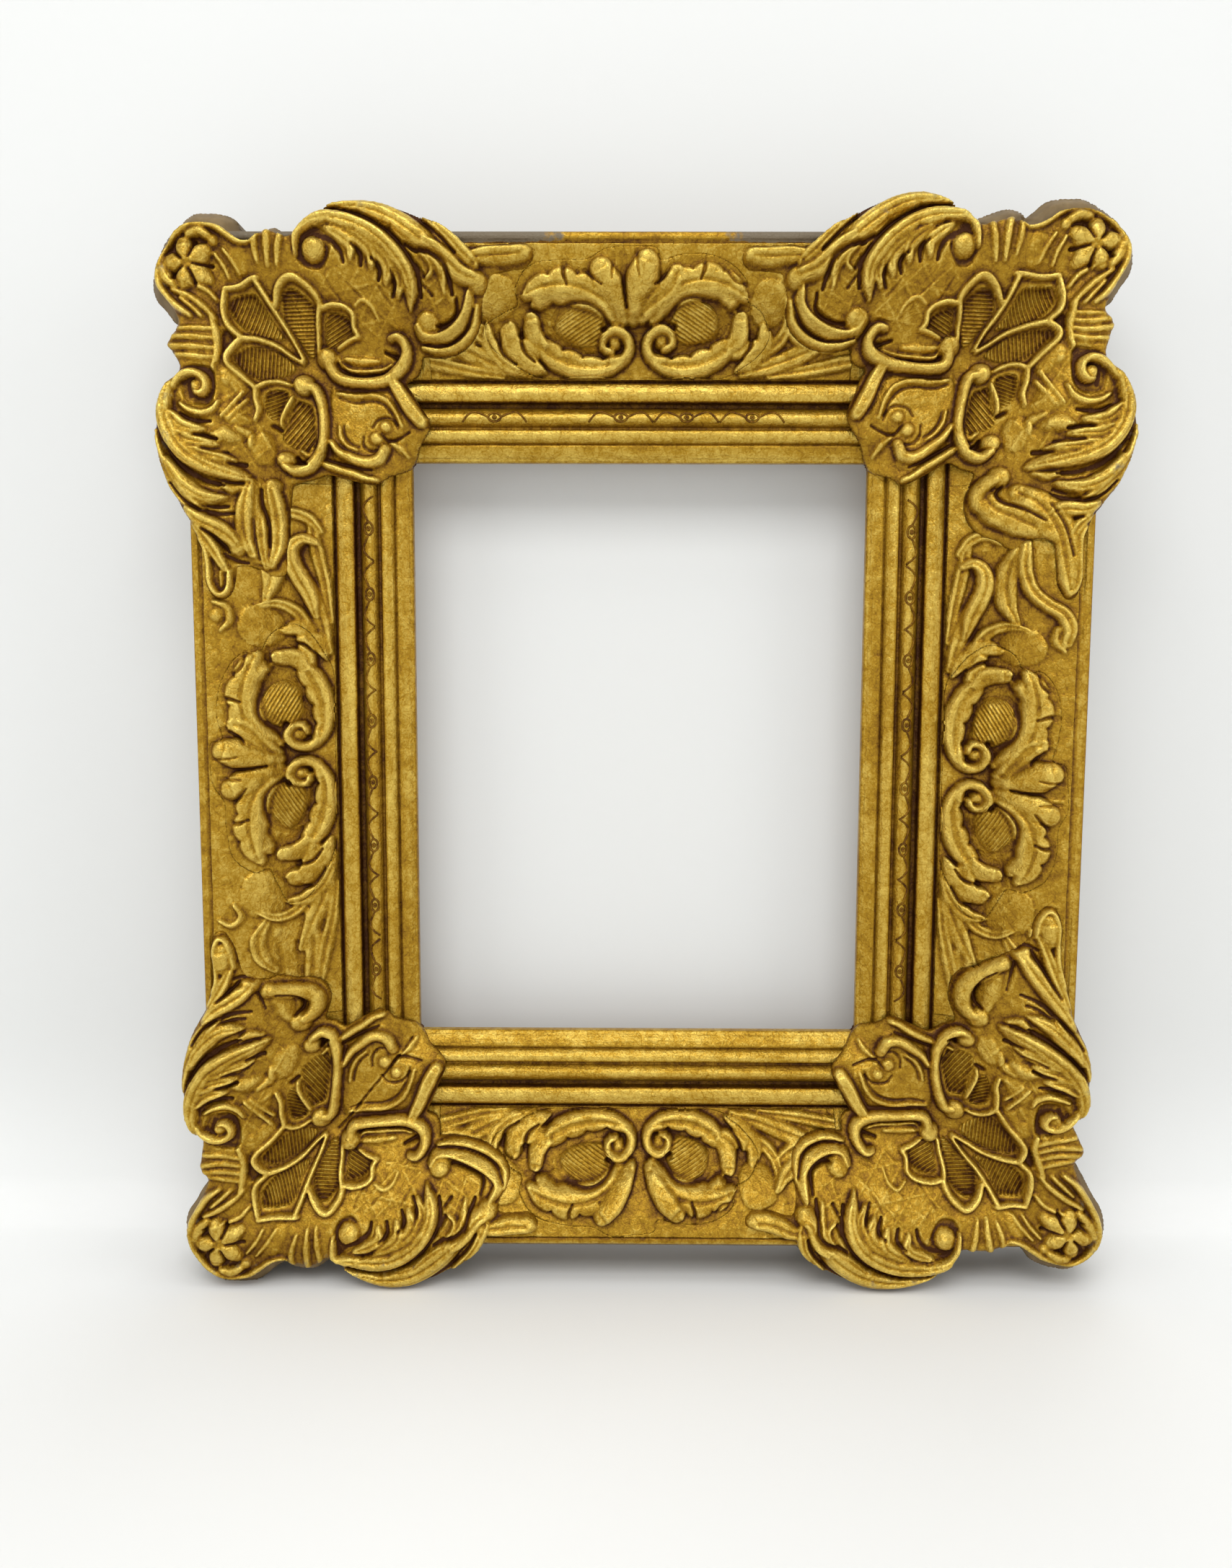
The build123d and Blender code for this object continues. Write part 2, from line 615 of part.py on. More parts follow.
def make_button(side):
    """A flat turn button, its pivot near one end, lying along the rail clear of the rabbet."""
    (x, y), flat = button_places()[side]
    reach = button_length - button_width
    plan = Pos(reach / 2, 0, 0) * SlotOverall(button_length, button_width)
    plan -= Circle(screw_shank / 2 + button_fit)
    solid = Pos(0, 0, -button_play - button_thickness) * extrude(plan, amount=button_thickness)
    turn = 0 if flat else -90
    return Pos(x, y, 0) * Rot(0, 0, turn) * solid


def make_button_screws():
    screws = []
    lift = 2 * button_play + button_thickness
    for centre, _ in button_places().values():
        screws.append(wood_screw(centre, button_screw_length + lift, lift))
    return screws


def brad_places():
    """Two brads through each rail's ledge into the inner strip."""
    out = (rabbet_overlap + strip_width) / 2
    places = []
    for hand in (1, -1):
        along_x = hand * half_width * 2 * brad_share
        along_y = hand * half_height * 2 * brad_share
        places += [(along_x, half_height + out), (along_x, -half_height - out)]
        places += [(half_width + out, along_y), (-half_width - out, along_y)]
    return places


def make_brads():
    brads = []
    for x, y in brad_places():
        brads.append(Pos(x, y, brad_sink) * extrude(Circle(brad_diameter / 2), amount=brad_length))
    return brads


def cut_by(solid, tools):
    for tool in tools:
        solid = solid - tool
    return solid


def build_frame():
    """Every piece of the frame on the bench, by its name."""
    pieces = {}
    splines = {corner: make_spline(corner) for corner in corners}
    brads = make_brads()
    hanger_screws = make_hanger_screws()
    button_screws = make_button_screws()
    brad_wells = [Pos(x, y, 0) * extrude(Circle(brad_diameter / 2), amount=brad_sink) for x, y in brad_places()]
    rails = {side: make_rail(side) for side in sides}
    strips = {side: make_strip(side) for side in sides}
    wholes = list(rails.values())
    for side in sides:
        tools = list(splines.values()) + brads + brad_wells + hanger_screws + button_screws
        pieces["rail_" + side] = cut_by(rails[side], tools)
        pieces["sight_strip_" + side] = cut_by(strips[side], brads)
    print("rails and strips made")
    blocks = {}
    for corner in corners:
        blocks["corner_block_" + corner] = make_block(corner, lobe_shares[corner], wholes)
        lobe = blocks["corner_block_" + corner]
        blocks["side_ear_" + corner] = make_block(corner, side_ear_shares[corner], wholes + [lobe])
        blocks["end_ear_" + corner] = make_block(corner, end_ear_shares[corner], wholes + [lobe])
    pieces.update(blocks)
    print("blocks made")
    lifts = {"ground": ground_lift, "petal": petal_lift, "leaf": leaf_lift, "scroll": scroll_lift}
    spaces = {level: ornament_space(lift) for level, lift in lifts.items()}
    spaces["centre"] = ornament_space(centre_lift)
    for corner in corners:
        near = [block for name, block in blocks.items() if name.endswith(corner)]
        meeting = [side for side in sides if side in corner]
        below = [rails[side] for side in meeting] + [strips[side] for side in meeting] + near
        pieces["corner_casting_" + corner] = make_casting(corner, spaces, below)
        print(corner, "casting made")
    for side in sides:
        pieces["centre_casting_" + side] = make_centre(side, spaces, [rails[side]])
    for corner in corners:
        pieces["mitre_spline_" + corner] = splines[corner]
    for side in ("left", "right"):
        pieces["hanger_strap_" + side] = make_strap(side)
        pieces["hanger_ring_" + side] = make_ring(side)
    for side in sides:
        pieces["turn_button_" + side] = make_button(side)
    pieces["hanger_screws"] = Compound(children=hanger_screws)
    pieces["turn_button_screws"] = Compound(children=button_screws)
    pieces["strip_brads"] = Compound(children=brads)
    return pieces


def main():
    os.makedirs("parts", exist_ok=True)
    standing = Plane(origin=(0, rabbet_depth, 0), x_dir=(1, 0, 0), z_dir=(0, -1, 0))
    for name, piece in build_frame().items():
        export_step(standing.location * piece, "parts/" + name + ".step")
    print("frame written")


main()
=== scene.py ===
from math import cos, pi, radians, sin, tau

import bpy
import numpy as np
from mathutils import Matrix, Vector


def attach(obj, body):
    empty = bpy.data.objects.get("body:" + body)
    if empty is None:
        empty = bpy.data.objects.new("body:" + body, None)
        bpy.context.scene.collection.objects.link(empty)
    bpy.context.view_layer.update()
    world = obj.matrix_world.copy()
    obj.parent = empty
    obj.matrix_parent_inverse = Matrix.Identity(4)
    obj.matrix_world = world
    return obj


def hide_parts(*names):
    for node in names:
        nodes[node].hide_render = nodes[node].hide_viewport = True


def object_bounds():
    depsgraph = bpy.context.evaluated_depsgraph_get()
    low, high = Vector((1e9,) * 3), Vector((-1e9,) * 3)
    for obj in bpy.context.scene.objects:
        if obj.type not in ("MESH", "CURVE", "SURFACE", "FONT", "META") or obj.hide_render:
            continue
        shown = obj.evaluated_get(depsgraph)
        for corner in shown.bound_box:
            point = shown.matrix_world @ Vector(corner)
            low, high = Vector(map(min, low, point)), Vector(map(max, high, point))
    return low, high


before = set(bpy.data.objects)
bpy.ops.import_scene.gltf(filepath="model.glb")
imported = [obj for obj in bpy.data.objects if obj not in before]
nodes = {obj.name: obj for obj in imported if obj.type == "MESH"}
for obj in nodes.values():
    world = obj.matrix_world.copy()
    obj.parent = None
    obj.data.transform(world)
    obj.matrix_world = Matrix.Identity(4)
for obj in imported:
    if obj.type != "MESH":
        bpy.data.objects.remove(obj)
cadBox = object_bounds()
print("frame loaded,", len(nodes), "nodes")

# Work is drawn in millimetres, face up: across, up the frame, and height over the flat back.
# toRoom stands it up in the frame of the model, in metres.
moulding = {
    "halfWidth": 95.25,   # from the middle to the sight edge
    "halfHeight": 121.85,
    "ledge": 9.0,         # height of the ledge that the picture bears on
    "railFace": 81.0,     # from the sight edge to the outer face
}
corners = ("top_left", "top_right", "bottom_left", "bottom_right")
sides = ("top", "bottom", "left", "right")


def toRoom(across, up, height):
    return np.stack([across, moulding["ledge"] - height, up], -1) * 0.001


# Camera, light and floor

view = {
    "place": (-0.0056, -0.558, 0.0472),
    "down": 0.1085,
    "turn": -0.0072,
    "roll": 0.003,
    "lens": 37.94,
    "sensor": 36.0,
}


def setCamera(v):
    down, turn, roll = v["down"], v["turn"], v["roll"]
    forward = Vector((sin(turn) * cos(down), cos(turn) * cos(down), -sin(down)))
    right = Vector((cos(turn), -sin(turn), 0))
    up = right.cross(forward)
    tiltedRight = cos(roll) * right + sin(roll) * up
    tiltedUp = -sin(roll) * right + cos(roll) * up
    data = bpy.data.cameras.new("viewer")
    data.lens = v["lens"]
    data.sensor_width = v["sensor"]
    data.sensor_fit = "HORIZONTAL"
    data.clip_start = 0.01
    cam = bpy.data.objects.new("viewer", data)
    turned = Matrix((tiltedRight, tiltedUp, -forward)).transposed()
    cam.matrix_world = Matrix.Translation(v["place"]) @ turned.to_4x4()
    bpy.context.scene.collection.objects.link(cam)
    bpy.context.scene.camera = cam


lamps = {
    "key": {"place": (-0.06, -0.9, 0.74), "aim": (0, 0, 0.0), "size": (0.9, 0.5), "power": 6.3},
    "front": {"place": (0.1, -1.35, 0.02), "aim": (0, 0, 0), "size": (0.8, 0.4), "power": 1.3},
    "over": {"place": (0, -0.55, 1.3), "aim": (0, -0.5, -0.2), "size": (1.3, 0.5), "power": 3.0},
    "left": {"place": (-1.1, -0.7, 0.15), "aim": (0, 0, 0), "size": (0.7, 1.0), "power": 3.0},
    "right": {"place": (1.1, -0.6, 0.3), "aim": (0, 0, 0), "size": (0.7, 1.0), "power": 3.0},
    "rear": {"place": (0.3, 1.1, 0.9), "aim": (0, 0, 0), "size": (1.0, 0.8), "power": 4.0},
}


def setLamps(lampTable):
    for name, lamp in lampTable.items():
        data = bpy.data.lights.new(name, "AREA")
        data.shape = "RECTANGLE"
        data.size, data.size_y = lamp["size"]
        data.energy = lamp["power"]
        obj = bpy.data.objects.new(name, data)
        aim = Vector(lamp["aim"]) - Vector(lamp["place"])
        obj.location = lamp["place"]
        obj.rotation_euler = aim.to_track_quat("-Z", "Y").to_euler()
        bpy.context.scene.collection.objects.link(obj)


surround = {
    "glow": (1.0, 0.99, 0.97),
    "glowStrength": 0.55,
    "behind": (0.84, 0.85, 0.84),    # what the camera sees past the paper
    "paper": (0.82, 0.83, 0.825),
    "paperAbove": (0.700, 0.710, 0.703),    # the standing part, painted a little greyer: painted shade
    "gap": 0.029,                    # metres from the ledge back to the paper
    "bend": 0.019,                   # radius where the paper turns up
    "standsFrom": 0.004,             # metres over the lowest point of the frame
    "greyFrom": 0.10,                # where the painted shade on the standing part is full
    "rows": (0.2, 0.62, 3.0),        # heights of the standing part, the last well past the view
    "lying": (-4.0, -1.5, -0.5),
    "across": (-4.0, -1.5, -0.6, 0, 0.6, 1.5, 4.0),
    "reach": 0.75,                   # metres from the frame where the paper starts to fade
    "fade": 0.9,
}


def setWorld(s):
    world = bpy.data.worlds.new("studio")
    bpy.context.scene.world = world
    world.use_nodes = True
    tree = world.node_tree
    tree.nodes.clear()
    add, link = tree.nodes.new, tree.links.new
    out = add("ShaderNodeOutputWorld")
    mix = add("ShaderNodeMixShader")
    light = add("ShaderNodeBackground")
    seen = add("ShaderNodeBackground")
    path = add("ShaderNodeLightPath")
    light.inputs["Color"].default_value = (*s["glow"], 1)
    light.inputs["Strength"].default_value = s["glowStrength"]
    seen.inputs["Color"].default_value = (*s["behind"], 1)
    seen.inputs["Strength"].default_value = 1
    link(path.outputs["Is Camera Ray"], mix.inputs[0])
    link(light.outputs[0], mix.inputs[1])
    link(seen.outputs[0], mix.inputs[2])
    link(mix.outputs[0], out.inputs[0])


def mathNode(tree, kind, first, second=0.0, third=None):
    node = tree.nodes.new("ShaderNodeMath")
    node.operation = kind
    for k, value in enumerate((first, second, third)):
        if value is None:
            continue
        if hasattr(value, "is_linked"):
            tree.links.new(value, node.inputs[k])
        else:
            node.inputs[k].default_value = value
    return node.outputs[0]


# A sheet of pale paper that lies under the frame and turns up close behind it; the standing part is painted darker,
# as painted shade.
# Seen from behind, or by a lamp, the standing part is clear, so the back is open to view and to light.
def setFloor(s):
    low = cadBox[0][2]
    turn = np.linspace(0, pi / 2, 13)
    run = [(y, low) for y in s["lying"]]
    run += [(s["gap"] - s["bend"] + s["bend"] * sin(t), low + s["bend"] * (1 - cos(t))) for t in turn]
    first, *higher = s["rows"]
    run += [(s["gap"], low + s["bend"] + first)] + [(s["gap"], low + row) for row in higher]
    wide = s["across"]
    points = [(x, y, z) for y, z in run for x in wide]
    n = len(wide)
    faces = [(r * n + c, r * n + c + 1, (r + 1) * n + c + 1, (r + 1) * n + c)
             for r in range(len(run) - 1) for c in range(n - 1)]
    mesh = bpy.data.meshes.new("paper")
    mesh.from_pydata(points, [], faces)
    mesh.polygons.foreach_set("use_smooth", np.ones(len(faces), bool))
    floor = bpy.data.objects.new("paper", mesh)
    bpy.context.scene.collection.objects.link(floor)
    mat = bpy.data.materials.new("palePaper")
    mat.use_nodes = True
    tree = mat.node_tree
    tree.nodes.clear()
    add, link = tree.nodes.new, tree.links.new
    out = add("ShaderNodeOutputMaterial")
    mix = add("ShaderNodeMixShader")
    solid = add("ShaderNodeBsdfDiffuse")
    clear = add("ShaderNodeBsdfTransparent")
    shade = add("ShaderNodeMix")
    shade.data_type = "RGBA"
    shade.inputs[6].default_value = (*s["paper"], 1)
    shade.inputs[7].default_value = (*s["paperAbove"], 1)
    rise = add("ShaderNodeMapRange")
    rise.interpolation_type = "SMOOTHSTEP"
    rise.inputs["From Min"].default_value = low + s["standsFrom"]
    rise.inputs["From Max"].default_value = low + s["greyFrom"]
    coord = add("ShaderNodeTexCoord")
    span = add("ShaderNodeVectorMath")
    span.operation = "LENGTH"
    fade = add("ShaderNodeMapRange")
    fade.interpolation_type = "SMOOTHSTEP"
    fade.inputs["From Min"].default_value = s["reach"]
    fade.inputs["From Max"].default_value = s["reach"] + s["fade"]
    faceSide = add("ShaderNodeNewGeometry")
    path = add("ShaderNodeLightPath")
    split = add("ShaderNodeSeparateXYZ")
    link(coord.outputs["Object"], span.inputs[0])
    link(coord.outputs["Object"], split.inputs[0])
    link(split.outputs["Z"], rise.inputs["Value"])
    link(rise.outputs[0], shade.inputs[0])
    link(shade.outputs[2], solid.inputs["Color"])
    link(span.outputs["Value"], fade.inputs["Value"])
    standing = mathNode(tree, "GREATER_THAN", split.outputs["Z"], low + s["standsFrom"])
    gone = mathNode(tree, "MAXIMUM", faceSide.outputs["Backfacing"], path.outputs["Is Shadow Ray"])
    gone = mathNode(tree, "MULTIPLY", gone, standing)
    gone = mathNode(tree, "MAXIMUM", gone, fade.outputs[0])
    link(gone, mix.inputs[0])
    link(solid.outputs[0], mix.inputs[1])
    link(clear.outputs[0], mix.inputs[2])
    link(mix.outputs[0], out.inputs[0])
    mesh.materials.append(mat)


setCamera(view)
setLamps(lamps)
setWorld(surround)
setFloor(surround)
bpy.context.scene.view_settings.view_transform = "Standard"
print("camera, lamps and floor set")


# Finishes

gilding = {
    "hollow": (0.052, 0.0145, 0.001),     # brown toning left in the hollows, with painted shade there too
    "shade": (0.163, 0.072, 0.003),
    "body": (0.358, 0.200, 0.013),
    "rubbed": (0.800, 0.595, 0.135),     # bare bright gold on the crests, with painted highlight there too
    "worn": (0.150, 0.118, 0.075),       # gold gone, grey size and wood showing
    "metal": 0.66,
    "rough": 0.31,
    "mottle": 230.0,                     # patches per metre
    "grit": 1150.0,
    "crackle": 270.0,
}


def newMaterial(name):
    mat = bpy.data.materials.new(name)
    mat.use_nodes = True
    tree = mat.node_tree
    shader = tree.nodes["Principled BSDF"]
    return mat, tree, shader


def noise(tree, vector, scale, detail=3.0, rough=0.55):
    node = tree.nodes.new("ShaderNodeTexNoise")
    node.inputs["Scale"].default_value = scale
    node.inputs["Detail"].default_value = detail
    node.inputs["Roughness"].default_value = rough
    tree.links.new(vector, node.inputs["Vector"])
    return node.outputs["Fac"]


def ramp(tree, value, stops):
    node = tree.nodes.new("ShaderNodeValToRGB")
    band = node.color_ramp
    while len(band.elements) < len(stops):
        band.elements.new(0.5)
    for element, (place, colour) in zip(band.elements, stops):
        element.position = place
        element.color = (*colour, 1)
    tree.links.new(value, node.inputs[0])
    return node.outputs[0]


def objectVector(tree, stretch=(1, 1, 1)):
    coord = tree.nodes.new("ShaderNodeTexCoord")
    mapping = tree.nodes.new("ShaderNodeMapping")
    mapping.inputs["Scale"].default_value = stretch
    tree.links.new(coord.outputs["Object"], mapping.inputs["Vector"])
    return mapping.outputs[0]


def bump(tree, height, strength, distance, below=None):
    node = tree.nodes.new("ShaderNodeBump")
    node.inputs["Strength"].default_value = strength
    node.inputs["Distance"].default_value = distance
    tree.links.new(height, node.inputs["Height"])
    if below is not None:
        tree.links.new(below, node.inputs["Normal"])
    return node.outputs[0]


def attribute(tree, name):
    node = tree.nodes.new("ShaderNodeAttribute")
    node.attribute_name = name
    return node.outputs["Fac"]


def mixColour(tree, share, first, second):
    node = tree.nodes.new("ShaderNodeMix")
    node.data_type = "RGBA"
    tree.links.new(share, node.inputs[0])
    for socket, value in ((node.inputs[6], first), (node.inputs[7], second)):
        if hasattr(value, "is_linked"):
            tree.links.new(value, socket)
        else:
            socket.default_value = (*value, 1)
    return node.outputs[2]


# Old water gilding: tone follows how hollow or proud the carving is, as toning plus painted shade in the hollows and
# painted highlight on the crests, then patches, pits, tooling and fine cracks
def gilt(name, stretch, lift=0.0, g=gilding):
    mat, tree, shader = newMaterial(name)
    add, link = tree.nodes.new, tree.links.new
    vector = objectVector(tree)
    along = objectVector(tree, stretch)
    patches = noise(tree, vector, g["mottle"], 4.0, 0.62)
    broad = noise(tree, vector, g["mottle"] * 0.22, 2.0, 0.5)
    streaks = noise(tree, along, g["mottle"] * 0.9, 4.0, 0.65)
    grit = noise(tree, vector, g["grit"], 2.0, 0.5)
    tooling = mathNode(tree, "SINE", mathNode(tree, "MULTIPLY", attribute(tree, "tooling"), tau))
    tooled = mathNode(tree, "MULTIPLY", tooling, attribute(tree, "tooled"))
    # the cavity tone paints shade into the hollows and highlight onto the crests, over the toning; the added lift
    # paints the whole piece lighter
    tone = mathNode(tree, "ADD", attribute(tree, "cavity"), lift)
    for source, weight in ((patches, 0.56), (streaks, 0.40), (broad, 0.34), (grit, 0.38)):
        tone = mathNode(tree, "ADD", tone, mathNode(tree, "MULTIPLY_ADD", source, weight, -weight / 2))
    tone = mathNode(tree, "ADD", tone, mathNode(tree, "MULTIPLY", tooled, 0.14))
    crackle = add("ShaderNodeTexVoronoi")
    crackle.feature = "DISTANCE_TO_EDGE"
    crackle.inputs["Scale"].default_value = g["crackle"]
    link(vector, crackle.inputs["Vector"])
    cracks = ramp(tree, crackle.outputs["Distance"], [(0.0, (0, 0, 0)), (0.055, (1, 1, 1))])
    tone = mathNode(tree, "ADD", tone, mathNode(tree, "MULTIPLY_ADD", cracks, 0.11, -0.11))
    colour = ramp(tree, tone, [(0.0, g["hollow"]), (0.22, g["shade"]), (0.50, g["body"]), (1.0, g["rubbed"])])
    bare = mathNode(tree, "ADD", attribute(tree, "worn"), mathNode(tree, "MULTIPLY_ADD", patches, 0.8, -0.4))
    worn = ramp(tree, bare, [(0.42, (0, 0, 0)), (0.58, (1, 1, 1))])
    link(mixColour(tree, worn, colour, g["worn"]), shader.inputs["Base Color"])
    gloss = ramp(tree, tone, [(0.08, (0.6 * g["metal"],) * 3), (0.5, (g["metal"],) * 3)])
    gilded = mathNode(tree, "SUBTRACT", 1.0, worn)
    link(mathNode(tree, "MULTIPLY", gloss, gilded), shader.inputs["Metallic"])
    rough = mathNode(tree, "MULTIPLY_ADD", tone, -0.2, g["rough"] + 0.16)
    rough = mathNode(tree, "ADD", rough, mathNode(tree, "MULTIPLY_ADD", grit, 0.24, -0.12))
    link(rough, shader.inputs["Roughness"])
    normal = bump(tree, streaks, 0.75, 0.0008)
    normal = bump(tree, patches, 0.8, 0.0008, normal)
    normal = bump(tree, grit, 0.6, 0.0003, normal)
    normal = bump(tree, cracks, 0.2, 0.00015, normal)
    normal = bump(tree, tooled, 0.8, 0.0004, normal)
    link(normal, shader.inputs["Normal"])
    shader.inputs["Specular IOR Level"].default_value = 0.22
    return mat


def timber(name, light, dark, stretch, rough=0.7):
    mat, tree, shader = newMaterial(name)
    grain = noise(tree, objectVector(tree, stretch), 160.0, 5.0, 0.6)
    blotch = noise(tree, objectVector(tree), 45.0, 3.0, 0.6)
    tone = mathNode(tree, "ADD", mathNode(tree, "MULTIPLY", grain, 0.65), mathNode(tree, "MULTIPLY", blotch, 0.35))
    colour = ramp(tree, tone, [(0.32, dark), (0.68, light)])
    tree.links.new(colour, shader.inputs["Base Color"])
    shader.inputs["Roughness"].default_value = rough
    tree.links.new(bump(tree, grain, 0.4, 0.0004), shader.inputs["Normal"])
    return mat


def metal(name, colour, dull, rough=0.35):
    mat, tree, shader = newMaterial(name)
    vector = objectVector(tree)
    stain = noise(tree, vector, 220.0, 4.0, 0.6)
    fine = noise(tree, objectVector(tree, (1, 1, 5)), 1600.0, 2.0, 0.5)
    tree.links.new(ramp(tree, stain, [(0.35, dull), (0.62, colour)]), shader.inputs["Base Color"])
    shader.inputs["Metallic"].default_value = 1.0
    tree.links.new(mathNode(tree, "MULTIPLY_ADD", stain, -0.3, rough + 0.2), shader.inputs["Roughness"])
    tree.links.new(bump(tree, fine, 0.2, 0.00008), shader.inputs["Normal"])
    return mat


giltCarving = gilt("giltCarving", (1, 1, 1))
giltLying = gilt("giltLying", (0.08, 1, 1), 0.06)      # streaks along the top and bottom rails, and a lighter tone than the upright rails: painted light
giltStanding = gilt("giltStanding", (1, 1, 0.08))
tonedWood = timber("tonedWood", (0.225, 0.150, 0.058), (0.092, 0.056, 0.018), (1, 1, 0.15))
backWood = timber("backWood", (0.330, 0.205, 0.105), (0.170, 0.095, 0.045), (0.12, 1, 0.12))
keyWood = timber("keyWood", (0.420, 0.270, 0.140), (0.250, 0.150, 0.070), (0.3, 1, 0.3))
steel = metal("darkSteel", (0.42, 0.41, 0.39), (0.16, 0.12, 0.09))
ringSteel = metal("ringSteel", (0.50, 0.49, 0.47), (0.22, 0.18, 0.14), 0.3)
screwSteel = metal("screwSteel", (0.46, 0.45, 0.43), (0.20, 0.16, 0.12), 0.32)
brass = metal("brass", (0.62, 0.43, 0.16), (0.30, 0.19, 0.07), 0.32)
brassScrew = metal("brassScrew", (0.66, 0.47, 0.19), (0.32, 0.21, 0.08), 0.3)
bradSteel = metal("bradSteel", (0.30, 0.28, 0.26), (0.12, 0.09, 0.07), 0.4)
print("finishes made")


# Shared mesh helpers

def addPiece(name, points, faces, mats, slots=None, flat=None, **spots):
    mesh = bpy.data.meshes.new(name)
    mesh.from_pydata(points.tolist(), [], faces.tolist() if hasattr(faces, "tolist") else faces)
    for mat in mats:
        mesh.materials.append(mat)
    for label, values in spots.items():     # one number for each point, read by the finish
        mesh.attributes.new(label, "FLOAT", "POINT").data.foreach_set("value", np.asarray(values, np.float32))
    if slots is not None:
        mesh.polygons.foreach_set("material_index", np.asarray(slots, np.int32))
    smooth = np.ones(len(mesh.polygons), bool)
    if flat is not None:
        smooth[flat] = False
    mesh.polygons.foreach_set("use_smooth", smooth)
    mesh.update()
    obj = bpy.data.objects.new(name, mesh)
    bpy.context.scene.collection.objects.link(obj)
    return obj


def fit(obj, node):
    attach(obj, "body")
    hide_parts(node)


# Mouldings: one section swept along each side and cut to the mitre by a node tree

sections = {
    "stripStep": 0.5,
    "railStep": 0.8,
    # how far the rim and the side stand past the face
    "spread": {"top": (1.5, 1.5), "bottom": (0, 3), "left": (1.4, 1.4), "right": (2.4, 2.4)},
    "ringLength": 2.4,
    "back": 0.12,           # in from the flat back, so that the flush mitre keys show
    "channelUnder": 16.4,   # the rail is painted dark below this height: painted shade in the channel
    "channelTone": 0.05,
    "woodUnder": 47.0,      # the outer face is bare wood up to this height
    "ledgeUnder": 8.9,      # and so is all that lies below the ledge
    "woodFrom": 80.9,       # toned wood from here out, plain wood inside
}
topWear = {         # the gold is dull along the rim of the top rail and gone beside the corner castings
    "from": 77.8, "dullFrom": 78.6, "dull": 0.16,
    "sound": 12, "spread": 42, "most": 0.85,     # still sound for this far from the middle
}


def arcRun(start, end, sag, count=8):
    chord = np.subtract(end, start)
    normal = np.array([-chord[1], chord[0]]) / np.hypot(*chord)
    share = np.linspace(0, 1, count + 1)[:, None]
    return np.asarray(start) + chord * share + normal * (4 * sag * share * (1 - share))


def denser(points, step):
    rows = []
    for p, q in zip(points, np.roll(points, -1, axis=0)):
        count = max(1, int(np.hypot(*(q - p)) / step))
        rows.append(p + (q - p) * np.linspace(0, 1, count, endpoint=False)[:, None])
    return np.vstack(rows)


def stripSection():
    lines = [np.array([(0, 9), (0, 12), (0.35, 12.75), (1.0, 13.0)])]
    lines.append(arcRun((1.0, 13.0), (6.6, 16.0), 0.5)[1:])
    lines.append(np.array([(6.75, 15.1), (7.15, 15.1), (7.4, 15.9)]))
    lines.append(arcRun((7.4, 15.9), (12.2, 18.5), 0.9)[1:])
    lines.append(np.array([(12.5, 18.2), (12.8, 16.9), (13.7, 16.8), (14.2, 17.7)]))
    lines.append(arcRun((14.2, 17.7), (20.6, 18.2), 2.3, 12)[1:])
    lines.append(np.array([(21.2, 17.2), (21.2, 9)]))
    return np.vstack(lines)


def railSection(spread, swell):
    back, face = sections["back"], moulding["railFace"]
    lines = [np.array([(7, back), (7, 9), (21.3, 9), (21.3, 15), (23.4, 15), (23.4, 19.0), (23.8, 19.7)])]
    lines.append(arcRun((24.2, 20.0), (30.4, 20.0), 0.8))
    lines.append(np.array([(30.9, 19.5), (31.1, 17), (32.1, 17), (32.1, 18.2)]))
    lines.append(arcRun((32.1, 18.2), (55.25, 33.1), -1.8, 16)[1:])
    lines.append(arcRun((55.25, 33.1), (78.2, 47.6), 1.8, 16)[1:])
    lines.append(np.array([(78.2 + 0.7 * spread, 47.8), (78.35 + 0.8 * spread, 48.3), (78.8 + 0.8 * spread, 48.6),
                           (80.2 + spread, 48.6), (80.8 + spread, 48.2), (face + spread, 47.6)]))
    if swell > spread:
        lines.append(np.array([(81.6, 46.2), (83.4, 43.6), (face + swell, 42.0)]))
    lines.append(np.array([(face + swell, 6), (face, 3), (face, back)]))
    return np.vstack(lines)


